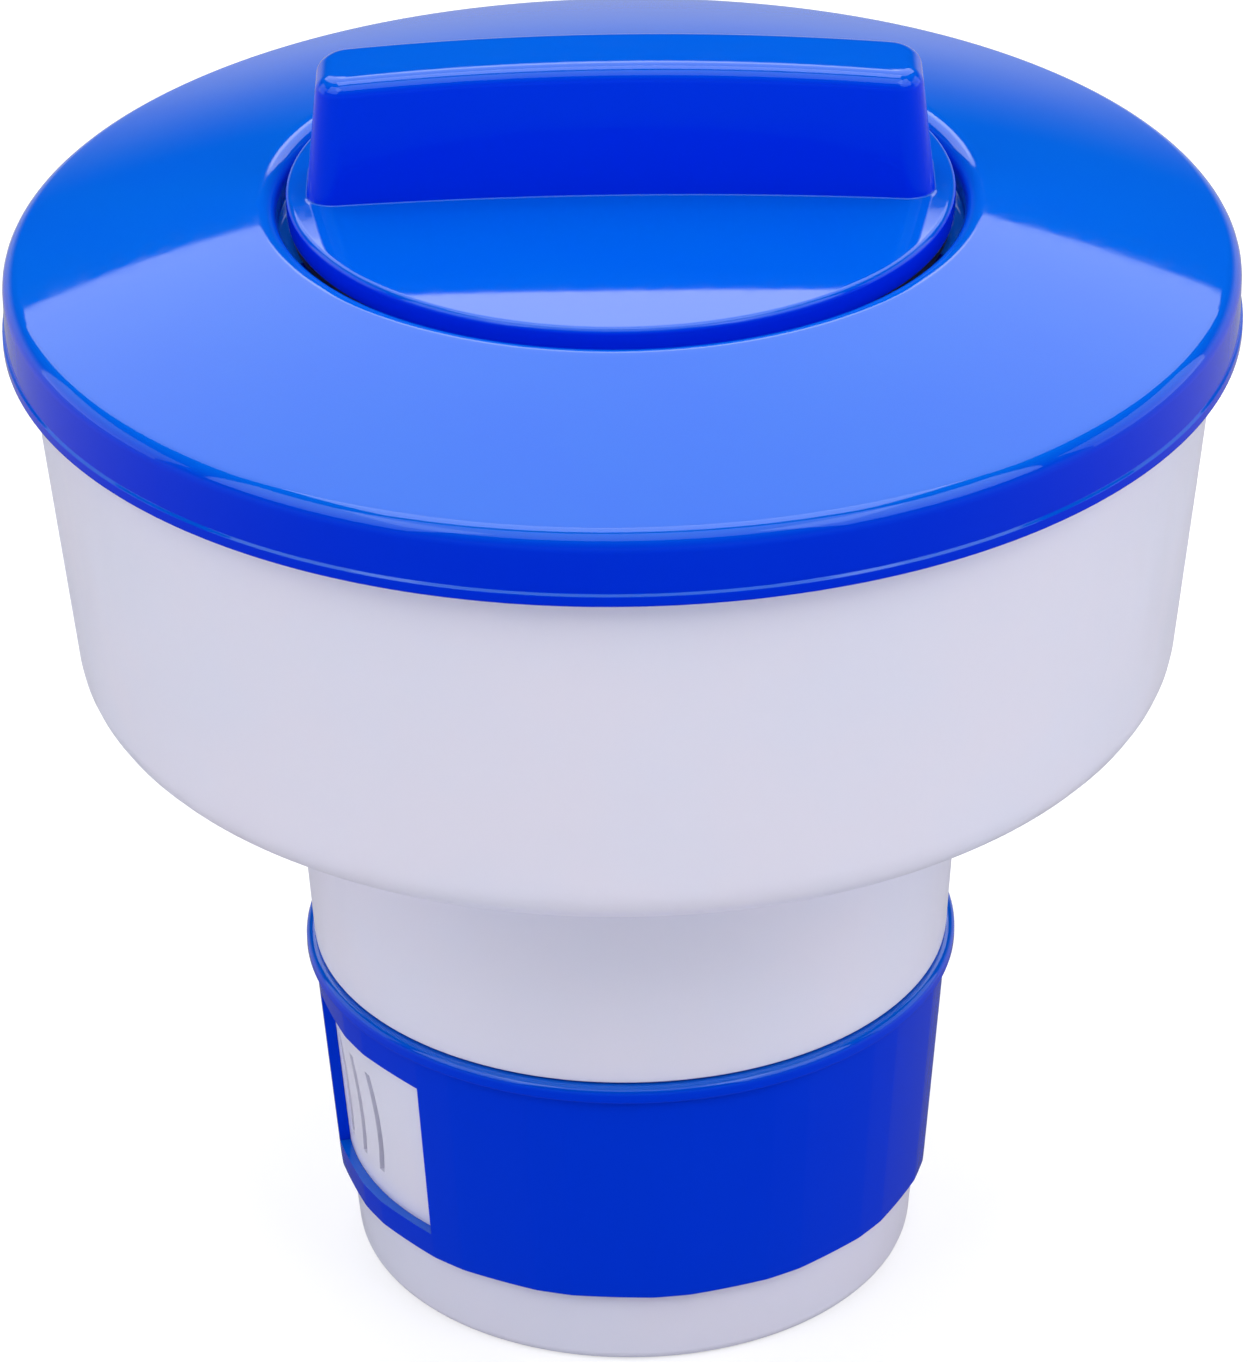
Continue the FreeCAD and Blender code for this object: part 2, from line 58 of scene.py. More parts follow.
# Meshes: columns round a full circle, points on arcs and long runs, merging.
COLUMNS = 288
ARC_STEP = 12.0
LONGEST_RUN = 4.0 * MM
MERGE_DISTANCE = 0.002 * MM
SHARP_ANGLE = 38.0

# Float cover, from the skirt in to the collar.
COVER_RADIUS = 101.6 * MM
SKIRT_BOTTOM = 176.4 * MM
SHOULDER_Z = 188.1 * MM
SHOULDER_FILLET = 3.6 * MM
COVER_WALL = 2.47 * MM
SKIRT_WALL = 2.6 * MM
BEAD_HEIGHT = 1.9 * MM
BEAD_STEP = 0.4 * MM
BEAD_EDGE = 0.6 * MM
SNAP_REACH = 0.65 * MM
SNAP_HEIGHTS = (0.7 * MM, 1.3 * MM, 2.9 * MM, 3.5 * MM)
MOUTH_RADIUS = 56.0 * MM
MOUTH_Z = 199.1 * MM
MOUTH_LIP = 3.0 * MM
TOP_BULGE = 1.1 * MM
TOP_DOME_RADIUS = 400 * MM
FLANGE_RADIUS = 51.9 * MM
FLANGE_TOP = 193.0 * MM
FLANGE_BOTTOM = 190.5 * MM
COLLAR_BORE = 54.8 * MM
COLLAR_ROOT_FILLET = 1.5 * MM
COLLAR_OUTER = 60.3 * MM
COLLAR_SEAT = 184.5 * MM
COLLAR_BOTTOM = 179.0 * MM
SEAL_SEAT = 185.5 * MM
SEAL_SEAT_INNER = 94.6 * MM
SEAL_SEAT_FILLET = 0.5 * MM
GATE_MARK_SIZE = 0.75 * MM
GATE_MARK_RISE = 0.16 * MM
GATE_MARK_DROP = 0.75 * MM
GATE_MARK_ANGLE = 268.6
GATE_MARK_TILT = 52.0

# Float bowl.
BOWL_FLOOR = 112.0 * MM
BOWL_RIM_Z = 184.0 * MM
BOWL_LOW_RADIUS = 91.3 * MM
BOWL_SKIRT_RADIUS = 97.74 * MM
BOWL_FILLET = 9.0 * MM
BOWL_WALL = 2.4 * MM
BOWL_BEAD = 0.35 * MM
BOWL_BEAD_DROPS = (4.0 * MM, 3.4 * MM, 1.6 * MM, 0.8 * MM)
BOWL_COLLAR_WALL = 2.4 * MM
BOWL_COLLAR_HEIGHT = 10.0 * MM
BOWL_COLLAR_FILLET = 1.0 * MM

# Canister.
FOOT_RADIUS = 48.3 * MM
FOOT_FILLET = 2.4 * MM
NECK_RADIUS = 57.8 * MM
STOP_RADIUS = 54.5 * MM
NECK_TOP = 183.0 * MM
CANISTER_WALL = 2.4 * MM
FLOOR_Z = 3.6 * MM
FOOT_RECESS = 1.2 * MM
FOOT_RING_INNER = 43.5 * MM
FOOT_RING_SLOPE = 1.0 * MM
FLOOR_FILLET = 2.0 * MM
FLOOR_RIBS = 6
RIB_REACH = (14.0 * MM, 43.0 * MM)
RIB_HALF_WIDTH = 1.0 * MM
RIB_HEIGHT = 2.5 * MM
RIB_ROOT = 0.5 * MM
FLOOR_SLIT_REACH = (18.0 * MM, 36.0 * MM)

# Control ring, and the stops on the canister that run in its pockets.
RING_BOTTOM = 15.3 * MM
RING_TOP = 60.3 * MM
RING_BOTTOM_RADIUS = 51.5 * MM
RING_TOP_RADIUS = 55.0 * MM
RING_WALL = 1.8 * MM
RING_GAP = 0.05 * MM
SEAT_GAP = 0.3 * MM
LIP_RADIUS = 55.95 * MM
LIP_HEIGHT = 3.0 * MM
LIP_TOP_EDGE = 1.4 * MM
LIP_FOOT_EDGE = 0.5 * MM
LIP_SLOPE = 0.6 * MM
LIP_RISE = 0.2 * MM
LIP_BORE = 2.0 * MM
FACET_PITCH = 22.5
NARROW_FLAT = 7.0
NARROW_FLAT_PHASE = 276.9
FACET_BLEND = 0.3
FLATNESS = 0.6
WINDOW_MIDDLE = 209.0
WINDOW_ARC = 38.0
WINDOW_BOTTOM = 20.3 * MM
WINDOW_TOP = 51.0 * MM
STOP_ANGLE = 299.0
STOP_HEIGHT = 0.6 * MM
RING_OPEN_TURN = 13.0
RING_CLOSED_TURN = 23.0
STOP_ARC = 3.0
STOP_INSET = 8.0 * MM
POCKET_INSET = 7.5 * MM
POCKET_GAP = 0.2 * MM
POCKET_PLAY = 0.8
RING_EDGE = 0.35 * MM
RING_EDGE_MIDDLE = 0.3 * RING_EDGE
RING_BORDER = 3.0 * MM

# Slits behind the windows: each follows an arc, and the wall dips beside it.
SLITS_PER_WINDOW = 5
SLIT_PITCH = 7.5
FIRST_SLIT = 211.7
SLIT_WIDTH = 1.7 * MM
SLIT_BOTTOM = 25.0 * MM
SLIT_TOP = 44.5 * MM
SLIT_CURVE = 34.0 * MM
SLIT_CURVE_Z = 32.2 * MM
SCOOP_ARC = 4.2
SCOOP_DEPTH = 0.75 * MM

# Cap: disc, spigot and lugs.
CAP_RADIUS = 54.5 * MM
CAP_EDGE_Z = 200.0 * MM
CAP_CROWN_Z = 201.8 * MM
CAP_EDGE_FILLET = 1.0 * MM
CAP_UNDERSIDE = 195.7 * MM
CAP_WALL = 2.4 * MM
SPIGOT_RADIUS = 51.4 * MM
SPIGOT_WALL = 2.2 * MM
SPIGOT_BOTTOM = 185.6 * MM
LUG_RADIUS = 54.2 * MM
LUG_TOP = 190.3 * MM
LUG_BOTTOM = 187.6 * MM
LUG_ARC = 24.0
LUG_ANGLES = (90.0, 210.0, 330.0)
GATE_ARC = LUG_ARC + 4.0
SPIGOT_EDGE = 0.5 * MM
CEILING_FILLET = 0.4 * MM
CEILING_BORDER = 0.45 * MM

# Grip bar. The last two are directions, seen from its middle, where the flat
# at its end and the rounded corner end.
HANDLE_LENGTH = 102.0 * MM
HANDLE_WIDTH = 19.0 * MM
HANDLE_TOP_LENGTH = 97.0 * MM
HANDLE_TOP_WIDTH = 15.6 * MM
HANDLE_TOP = 223.4 * MM
HANDLE_END_DROP = 3.0 * MM
HANDLE_ARCH_MARGIN = 2.0 * MM
HANDLE_END_FILLET = 5.0 * MM
HANDLE_TOP_FILLET = 2.8 * MM
HANDLE_FOOT_FILLET = 0.25 * MM
HANDLE_WALL = 2.8 * MM
HANDLE_CAVITY_EDGE = 0.6 * MM
FLAT_END = 4.7
CORNER_END = 32.4

# Seals and foam.
SEAL_WIDTH = 2.2 * MM
SEAL_INSET = 2.3 * MM
SEAL_FLASH = 0.04 * MM
CAP_SEAL_CORD = 2.5 * MM
FOAM_GAP = 1.0 * MM
FOAM_TOP_GAP = 1.5 * MM
FOAM_EDGE = 2.0 * MM
FOAM_SHOULDER = 3.0 * MM


# ---- Geometry helpers -------------------------------------------------------
def line_at(low, high, z):
    """Radius at height z on the straight line through two (radius, z) points."""
    return low[0] + (high[0] - low[0]) * (z - low[1]) / (high[1] - low[1])


def canister_radius(z):
    """Outside of the canister's cone, below the float."""
    return line_at((FOOT_RADIUS, 0), (NECK_RADIUS, BOWL_FLOOR), z)


def ring_radius(z):
    """Mean outside of the control ring."""
    return line_at((RING_BOTTOM_RADIUS, RING_BOTTOM), (RING_TOP_RADIUS, RING_TOP), z)


def bowl_radius(z):
    """Outside of the float bowl."""
    return line_at((BOWL_LOW_RADIUS, BOWL_FLOOR), (BOWL_SKIRT_RADIUS, SKIRT_BOTTOM), z)


def arc_points(before, here, after, fillet):
    """Points on the arc that rounds the corner at here."""
    to_before = (before - here).normalized()
    to_after = (after - here).normalized()
    half = to_before.angle(to_after) / 2
    centre = here + (to_before + to_after).normalized() * (fillet / math.sin(half))
    start = here + to_before * (fillet / math.tan(half)) - centre
    end = here + to_after * (fillet / math.tan(half)) - centre
    sweep = math.atan2(start.x * end.y - start.y * end.x, start.dot(end))
    pieces = max(2, math.ceil(abs(math.degrees(sweep)) / ARC_STEP),
                 math.ceil(abs(sweep) * fillet / LONGEST_RUN))
    points = []
    for part in range(pieces + 1):
        points.append(centre + Matrix.Rotation(sweep * part / pieces, 2) @ start)
    return points


def outline(corners, closed=True):
    """(radius, z) points through (radius, z) or (radius, z, fillet) corners, with long runs divided."""
    count = len(corners)
    bends = []
    for index, corner in enumerate(corners):
        here = Vector(corner[:2])
        inside = closed or 0 < index < count - 1
        if len(corner) == 3 and inside:
            before = Vector(corners[index - 1][:2])
            after = Vector(corners[(index + 1) % count][:2])
            bends.append(arc_points(before, here, after, corner[2]))
        else:
            bends.append([here])
    points = []
    for index, bend in enumerate(bends):
        points.extend(bend)
        if index == count - 1 and not closed:
            break
        following = bends[(index + 1) % count][0]
        pieces = math.ceil((following - bend[-1]).length / LONGEST_RUN)
        for part in range(1, pieces):
            points.append(bend[-1].lerp(following, part / pieces))
    return points


def angles_with(stops):
    """Angles round the circle, evenly spaced between the stops and including every stop."""
    marks = sorted(set(round(stop % 360, 5) for stop in stops)) or [0.0]
    angles = []
    for index, mark in enumerate(marks):
        gap = (marks[(index + 1) % len(marks)] - mark) % 360 or 360.0
        pieces = max(1, round(gap * COLUMNS / 360))
        for part in range(pieces):
            angles.append(mark + gap * part / pieces)
    return angles


def column_span(angles, start, end):
    """First and last column of an arc; the last one may run past the list's end."""
    def nearest(degrees):
        return min(range(len(angles)), key=lambda index: abs((angles[index] - degrees + 180) % 360 - 180))
    first = nearest(start)
    last = nearest(end)
    return (first, last if last > first else last + len(angles))


def on_circle(radius, z, degrees):
    """Point at a radius, a height and an angle."""
    turn = math.radians(degrees)
    return (radius * math.cos(turn), radius * math.sin(turn), z)


def within(degrees, middle, arc):
    """Whether an angle lies in an arc, edges included."""
    return abs((degrees - middle + 180) % 360 - 180) <= arc / 2 + 1e-6


def step_stops(middle, arc):
    """Columns just inside and just outside both ends of an arc."""
    return [middle + side * (arc / 2 + past) for side in (-1, 1) for past in (0, STEP_ARC)]


# ---- Mesh helpers -----------------------------------------------------------
def object_from(shape, name, material):
    """An object made from a bmesh, which is then freed."""
    mesh = bpy.data.meshes.new(name)
    shape.to_mesh(mesh)
    shape.free()
    mesh.materials.append(material)
    made = bpy.data.objects.new(name, mesh)
    bpy.context.scene.collection.objects.link(made)
    return made


def add_piece(name, vertices, faces, material):
    """A shaded object from vertices and faces, with doubled points merged."""
    draft = bpy.data.meshes.new("draft")
    draft.from_pydata(vertices, [], faces)
    shape = bmesh.new()
    shape.from_mesh(draft)
    bpy.data.meshes.remove(draft)
    bmesh.ops.remove_doubles(shape, verts=shape.verts, dist=MERGE_DISTANCE)
    loose = [vertex for vertex in shape.verts if not vertex.link_faces]
    bmesh.ops.delete(shape, geom=loose, context="VERTS")
    bmesh.ops.recalc_face_normals(shape, faces=shape.faces)
    return object_from(shape, name, material)


def finish_shading(piece):
    """Smooth shading with sharp edges kept, and flat faces kept flat next to their fillets."""
    mesh = piece.data
    mesh.shade_smooth()
    mesh.set_sharp_from_angle(angle=math.radians(SHARP_ANGLE))
    weighted = piece.modifiers.new("flat_faces", "WEIGHTED_NORMAL")
    weighted.keep_sharp = True
    weighted.weight = 50


def skin(name, rows, angles, material, closed=True, openings=()):
    """Surface through rows of points. Each row is a function of the angle.

    An opening is (outer rows, inner rows, columns), each a (first, last) pair,
    and goes from the outer face of a wall to its inner face."""
    row_count = len(rows)
    column_count = len(angles)
    vertices = []
    for degrees in angles:
        for row in rows:
            vertices.append(row(degrees))

    def at(row, column):
        return column % column_count * row_count + row % row_count

    faces = []
    removed = set()
    for outer, inner, columns in openings:
        for column in range(*columns):
            removed.update((row, column % column_count) for row in range(*outer))
            removed.update((row, column % column_count) for row in range(*inner))
            faces.append((at(outer[0], column), at(outer[0], column + 1),
                          at(inner[1], column + 1), at(inner[1], column)))
            faces.append((at(outer[1], column), at(outer[1], column + 1),
                          at(inner[0], column + 1), at(inner[0], column)))
        for step in range(outer[1] - outer[0]):
            for column in columns:
                faces.append((at(outer[0] + step, column), at(outer[0] + step + 1, column),
                              at(inner[1] - step - 1, column), at(inner[1] - step, column)))
    for column in range(column_count):
        for row in range(row_count if closed else row_count - 1):
            if (row, column) not in removed:
                faces.append((at(row, column), at(row, column + 1),
                              at(row + 1, column + 1), at(row + 1, column)))
    return add_piece(name, vertices, faces, material)


def circle_rows(points, reshape=None):
    """Rows for a solid of revolution; reshape(radius, z, degrees) gives a new radius."""
    rows = []
    for radius, z in points:
        def row(degrees, radius=radius, z=z):
            reach = reshape(radius, z, degrees) if reshape else radius
            return on_circle(reach, z, degrees)
        rows.append(row)
    return rows


def lathe(name, corners, material, angles=None, reshape=None):
    """Solid of revolution through a closed profile."""
    rows = circle_rows(outline(corners), reshape)
    return skin(name, rows, angles or angles_with(()), material)


def box_mesh(name, low, high, degrees, material):
    """Straight bar between two corners, turned about Z."""
    shape = bmesh.new()
    bmesh.ops.create_cube(shape, size=1)
    size = Vector(high) - Vector(low)
    middle = (Vector(high) + Vector(low)) / 2
    place = Matrix.Rotation(math.radians(degrees), 4, "Z") @ Matrix.Translation(middle)
    bmesh.ops.transform(shape, matrix=place @ Matrix.Diagonal((*size, 1)), verts=shape.verts)
    return object_from(shape, name, material)


def combine(piece, others, operation):
    """Applies a boolean with each other object, which is then deleted."""
    for other in others:
        step = piece.modifiers.new("combine", "BOOLEAN")
        step.operation = operation
        step.solver = "EXACT"
        step.object = other
    shown = piece.evaluated_get(bpy.context.evaluated_depsgraph_get())
    mesh = bpy.data.meshes.new_from_object(shown)
    piece.modifiers.clear()
    piece.data = mesh
    for other in others:
        bpy.data.objects.remove(other)


def settle(piece, body, node):
    """Shades a finished piece smoothly, hangs it on the body it rides on and hides the node it stands for."""
    finish_shading(piece)
    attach(piece, body)
    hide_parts(node)


# ---- Materials --------------------------------------------------------------
class Graph:
    """Short names for building a node tree."""

    def __init__(self, tree):
        self.nodes = tree.nodes
        self.links = tree.links

    def add(self, kind, **inputs):
        node = self.nodes.new(kind)
        for key, value in inputs.items():
            self.set(node, key.replace("_", " "), value)
        return node

    def set(self, node, key, value):
        if isinstance(value, bpy.types.NodeSocket):
            self.links.new(value, node.inputs[key])
        else:
            node.inputs[key].default_value = value

    def maths(self, operation, first, second=0.0, third=0.0):
        node = self.nodes.new("ShaderNodeMath")
        node.operation = operation
        for index, value in enumerate((first, second, third)):
            self.set(node, index, value)
        return node.outputs[0]

    def ramp(self, value, low, high, to_low=0.0, to_high=1.0):
        node = self.add("ShaderNodeMapRange", Value=value)
        node.interpolation_type = "SMOOTHSTEP"
        node.inputs["From Min"].default_value = low
        node.inputs["From Max"].default_value = high
        node.inputs["To Min"].default_value = to_low
        node.inputs["To Max"].default_value = to_high
        return node.outputs[0]

    def noise(self, place, scale, detail=2.0, roughness=0.5):
        node = self.add("ShaderNodeTexNoise", Scale=scale, Detail=detail, Roughness=roughness)
        self.links.new(place, node.inputs["Vector"])
        return node.outputs["Fac"]

    def blend(self, share, first, second):
        node = self.nodes.new("ShaderNodeMix")
        node.data_type = "RGBA"
        self.set(node, 0, share)
        self.set(node, 6, first)
        self.set(node, 7, second)
        return node.outputs[2]

    def bump(self, height, distance, normal=None):
        node = self.add("ShaderNodeBump", Height=height, Distance=distance, Strength=1.0)
        if normal:
            self.links.new(normal, node.inputs["Normal"])
        return node.outputs[0]


def new_material(name):
    """A material with an emptied tree; returns it, its graph, its shader and the object's own coordinates."""
    material = bpy.data.materials.new(name)
    material.use_nodes = True
    graph = Graph(material.node_tree)
    graph.nodes.clear()
    shader = graph.add("ShaderNodeBsdfPrincipled")
    out = graph.add("ShaderNodeOutputMaterial")
    graph.links.new(shader.outputs[0], out.inputs[0])
    place = graph.add("ShaderNodeTexCoord").outputs["Object"]
    return material, graph, shader, place


def stretched(graph, place, x, y, z):
    """Coordinates scaled differently along each axis."""
    node = graph.add("ShaderNodeMapping", Vector=place)
    node.inputs["Scale"].default_value = (x, y, z)
    return node.outputs[0]


def blue_plastic(name, deep, painted_top_colour):
    """Glossy moulded plastic: deep blue on upright faces, with painted light making faces that point up a
    lighter blue and whiter in their specular tint.
    """
    material, graph, shader, place = new_material(name)
    facing = graph.add("ShaderNodeNewGeometry").outputs["Normal"]
    upward = graph.add("ShaderNodeSeparateXYZ", Vector=facing).outputs["Z"]
    # Painted light: the lighter blue on faces that point up stands in for light from above and is not the
    # plastic's own colour.
    painted_top_light_mask = graph.ramp(upward, 0.05, 0.95)
    colour = graph.blend(painted_top_light_mask, deep, painted_top_colour)
    mottle = graph.ramp(graph.noise(place, 38.0, 4.0, 0.6), 0.3, 0.7, 0.0, 0.10)
    colour = graph.blend(mottle, colour, BLUE_MOTTLE)
    graph.set(shader, "Base Color", colour)
    flow = graph.noise(stretched(graph, place, 1.0, 1.0, 0.12), 420.0, 3.0)
    graph.set(shader, "Roughness", graph.ramp(flow, 0.25, 0.75, 0.03, 0.07))
    graph.set(shader, "IOR", 1.45)
    # The same painted-light mask turns the specular tint from blue on upright faces to white on faces that
    # point up.
    graph.set(shader, "Specular Tint", graph.blend(painted_top_light_mask, BLUE_GLINT, (1, 1, 1, 1)))
    waviness = graph.bump(graph.noise(place, 26.0, 1.0), 0.06 * MM)
    sink = graph.bump(graph.noise(place, 110.0, 2.0), 0.008 * MM, waviness)
    grain = graph.bump(graph.noise(place, 3200.0, 2.0), 0.0005 * MM, sink)
    graph.links.new(grain, shader.inputs["Normal"])
    return material


def white_plastic():
    """Milky polypropylene with soft mould-flow marks."""
    material, graph, shader, place = new_material("white_plastic_detail")
    cloud = graph.noise(place, 30.0, 4.0, 0.55)
    colour = graph.blend(graph.ramp(cloud, 0.25, 0.75), WHITE_COOL, WHITE_WARM)
    graph.set(shader, "Base Color", colour)
    flow = graph.noise(stretched(graph, place, 1.0, 1.0, 0.08), 300.0, 3.0)
    graph.set(shader, "Roughness", graph.ramp(flow, 0.25, 0.75, 0.30, 0.42))
    graph.set(shader, "IOR", 1.42)
    graph.set(shader, "Subsurface Weight", 0.12)
    graph.set(shader, "Subsurface Radius", (1.0, 0.9, 1.0))
    graph.set(shader, "Subsurface Scale", 2.0 * MM)
    sink = graph.bump(graph.noise(place, 24.0, 1.0), 0.25 * MM)
    grain = graph.bump(graph.noise(place, 2600.0, 2.0), 0.006 * MM, sink)
    graph.links.new(grain, shader.inputs["Normal"])
    return material


def foam():
    """Closed-cell bead foam: polygonal beads with fine seams."""
    material, graph, shader, place = new_material("foam_detail")
    cells = graph.add("ShaderNodeTexVoronoi", Scale=280.0)
    cells.feature = "DISTANCE_TO_EDGE"
    graph.links.new(place, cells.inputs["Vector"])
    seam = graph.ramp(cells.outputs["Distance"], 0.0, 0.12)
    graph.set(shader, "Base Color", graph.blend(seam, FOAM_SEAM, FOAM_BEAD))
    graph.set(shader, "Roughness", graph.ramp(graph.noise(place, 900.0), 0.3, 0.7, 0.75, 0.95))
    graph.links.new(graph.bump(seam, 0.25 * MM), shader.inputs["Normal"])
    return material


def seal_rubber():
    """Dark moulded rubber with a dusty bloom."""
    material, graph, shader, place = new_material("seal_rubber_detail")
    bloom = graph.ramp(graph.noise(place, 160.0, 5.0, 0.65), 0.45, 0.75)
    graph.set(shader, "Base Color", graph.blend(bloom, RUBBER_BLACK, RUBBER_BLOOM))
    graph.set(shader, "Roughness", graph.ramp(bloom, 0.0, 1.0, 0.45, 0.7))
    graph.links.new(graph.bump(graph.noise(place, 2200.0, 3.0), 0.02 * MM), shader.inputs["Normal"])
    return material


# Painted light: the cap's base blue is lighter than the cover's and ring's, standing in for brighter light on
# the grip bar's front face.
CAP_BLUE = (0.0, 0.025, 0.80, 1)
COVER_BLUE = (0.0, 0.02, 0.70, 1)
RING_BLUE = (0.0, 0.034, 0.72, 1)
# Painted light: lighter blues for faces that point up; the cap's is darker than the cover's to stand in for
# the shade and reflection of its grip bar on the disc.
CAP_PAINTED_TOP_LIGHT = (0.0, 0.096, 0.60, 1)
COVER_PAINTED_TOP_LIGHT = (0.0, 0.106, 0.62, 1)
BLUE_MOTTLE = (0.0, 0.05, 0.70, 1)
BLUE_GLINT = (0.0, 0.5, 1.0, 1)
WHITE_COOL = (0.77, 0.78, 0.95, 1)
WHITE_WARM = (0.80, 0.78, 0.93, 1)
FOAM_SEAM = (0.55, 0.56, 0.58, 1)
FOAM_BEAD = (0.86, 0.87, 0.88, 1)
RUBBER_BLACK = (0.018, 0.018, 0.02, 1)
RUBBER_BLOOM = (0.055, 0.055, 0.06, 1)

CAP_PLASTIC = blue_plastic("cap_blue_detail", CAP_BLUE, CAP_PAINTED_TOP_LIGHT)
COVER_PLASTIC = blue_plastic("cover_blue_detail", COVER_BLUE, COVER_PAINTED_TOP_LIGHT)
RING_PLASTIC = blue_plastic("ring_blue_detail", RING_BLUE, COVER_PAINTED_TOP_LIGHT)
WHITE = white_plastic()
FOAM = foam()
RUBBER = seal_rubber()


# ---- Float cover ------------------------------------------------------------
def make_float_cover():
    """Skirt with a bead, domed top, mouth, ledge with three gates, and collar."""
    skirt_radius = COVER_RADIUS - BEAD_STEP
    skirt_inner = COVER_RADIUS - SKIRT_WALL
    snap_radius = skirt_inner - SNAP_REACH
    snap_foot, snap_low, snap_high, snap_head = (SKIRT_BOTTOM + height for height in SNAP_HEIGHTS)
    middle_radius = (skirt_radius + MOUTH_RADIUS) / 2
    middle_z = (SHOULDER_Z + MOUTH_Z) / 2 + TOP_BULGE
    collar_z = line_at((MOUTH_Z, MOUTH_RADIUS), (middle_z, middle_radius), COLLAR_OUTER)
    seat_z = line_at((SHOULDER_Z, skirt_radius), (middle_z, middle_radius), SEAL_SEAT_INNER)
    collar_inner = NECK_RADIUS + CLEARANCE
    corners = [
        (COVER_RADIUS, SKIRT_BOTTOM, BEAD_EDGE),
        (COVER_RADIUS, SKIRT_BOTTOM + BEAD_HEIGHT, SOFT_EDGE),
        (skirt_radius, SKIRT_BOTTOM + BEAD_HEIGHT + BEAD_STEP, SOFT_EDGE),
        (skirt_radius, SHOULDER_Z, SHOULDER_FILLET),
        (middle_radius, middle_z, TOP_DOME_RADIUS),
        (MOUTH_RADIUS, MOUTH_Z, MOUTH_LIP),
        (MOUTH_RADIUS, FLANGE_TOP, SOFT_EDGE),
        (FLANGE_RADIUS, FLANGE_TOP, SOFT_EDGE),
        (FLANGE_RADIUS, FLANGE_BOTTOM, SOFT_EDGE),
        (COLLAR_BORE, FLANGE_BOTTOM),
        (COLLAR_BORE, COLLAR_SEAT, FINE_EDGE),
        (collar_inner, COLLAR_SEAT),
        (collar_inner, COLLAR_BOTTOM, SOFT_EDGE),
        (COLLAR_OUTER, COLLAR_BOTTOM, ROUND_EDGE),
        (COLLAR_OUTER, collar_z - COVER_WALL, COLLAR_ROOT_FILLET),
        (middle_radius, middle_z - COVER_WALL, TOP_DOME_RADIUS / 2),
        (SEAL_SEAT_INNER, seat_z - COVER_WALL, SEAL_SEAT_FILLET),
        (SEAL_SEAT_INNER, SEAL_SEAT),
        (skirt_inner, SEAL_SEAT, FINE_EDGE),
        (skirt_inner, snap_head, FINE_EDGE),
        (snap_radius, snap_high, FINE_EDGE),
        (snap_radius, snap_low, FINE_EDGE),
        (skirt_inner, snap_foot, FINE_EDGE),
        (skirt_inner, SKIRT_BOTTOM, SOFT_EDGE),
    ]
    gate_radius = COLLAR_BORE - CLEARANCE
    stops = [stop for middle in LUG_ANGLES for stop in step_stops(middle, GATE_ARC)]

    def open_gates(radius, z, degrees):
        if radius > gate_radius or z < FLANGE_BOTTOM - MM:
            return radius
        return gate_radius if any(within(degrees, middle, GATE_ARC) for middle in LUG_ANGLES) else radius

    cover = lathe("cover_shell", corners, COVER_PLASTIC, angles=angles_with(stops), reshape=open_gates)
    settle(cover, "root", "float_cover")


def make_gate_mark():
    """The small nub that the moulding gate leaves on the front of the shoulder."""
    turn = math.radians(GATE_MARK_ANGLE)
    tilt = math.radians(GATE_MARK_TILT)
    reach = SHOULDER_FILLET * math.cos(tilt)
    out = Vector((math.cos(turn) * math.cos(tilt), math.sin(turn) * math.cos(tilt), math.sin(tilt)))
    edge_radius = COVER_RADIUS - BEAD_STEP - SHOULDER_FILLET + reach
    place = Vector((edge_radius * math.cos(turn), edge_radius * math.sin(turn),
                    SHOULDER_Z - SHOULDER_FILLET * (1 - math.sin(tilt)) - GATE_MARK_DROP))
    shape = bmesh.new()
    bmesh.ops.create_icosphere(shape, subdivisions=3, radius=1)
    facing = out.to_track_quat("Z", "Y").to_matrix().to_4x4()
    spread = Matrix.Diagonal((GATE_MARK_SIZE, GATE_MARK_SIZE, GATE_MARK_RISE, 1))
    bmesh.ops.transform(shape, matrix=Matrix.Translation(place) @ facing @ spread, verts=shape.verts)
    mark = object_from(shape, "gate_mark", COVER_PLASTIC)
    mark.data.shade_smooth()
    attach(mark, "root")


# ---- Float bowl -------------------------------------------------------------
def make_float_bowl():
    """Open bowl with a collar around the canister."""
    hole = NECK_RADIUS
    collar = hole + BOWL_COLLAR_WALL
    rim = bowl_radius(BOWL_RIM_Z)
    floor_top = BOWL_FLOOR + BOWL_WALL
    collar_top = floor_top + BOWL_COLLAR_HEIGHT
    bead_foot, bead_low, bead_high, bead_head = (BOWL_RIM_Z - drop for drop in BOWL_BEAD_DROPS)
    bowl = lathe("bowl_shell", [
        (hole, BOWL_FLOOR, SOFT_EDGE),
        (BOWL_LOW_RADIUS, BOWL_FLOOR, BOWL_FILLET),
        (bowl_radius(bead_foot), bead_foot, SOFT_EDGE),
        (rim + BOWL_BEAD, bead_low, FINE_EDGE),
        (rim + BOWL_BEAD, bead_high, FINE_EDGE),
        (rim, bead_head, SOFT_EDGE),
        (rim, BOWL_RIM_Z, SOFT_EDGE),
        (rim - BOWL_WALL, BOWL_RIM_Z, SOFT_EDGE),
        (bowl_radius(floor_top) - BOWL_WALL, floor_top, BOWL_FILLET - BOWL_WALL),
        (collar, floor_top, BOWL_COLLAR_FILLET),
        (collar, collar_top, ROUND_EDGE),
        (hole, collar_top, ROUND_EDGE),
    ], WHITE)
    settle(bowl, "root", "float_bowl")


# ---- Canister ---------------------------------------------------------------
def rows_between(points, low, high, inside):
    """First and last row of the seat's outer or inner wall from one height to another."""
    found = [index for index, (radius, z) in enumerate(points)
             if low - 1e-7 <= z <= high + 1e-7 and inside(radius)]
    return (found[0], found[-1])


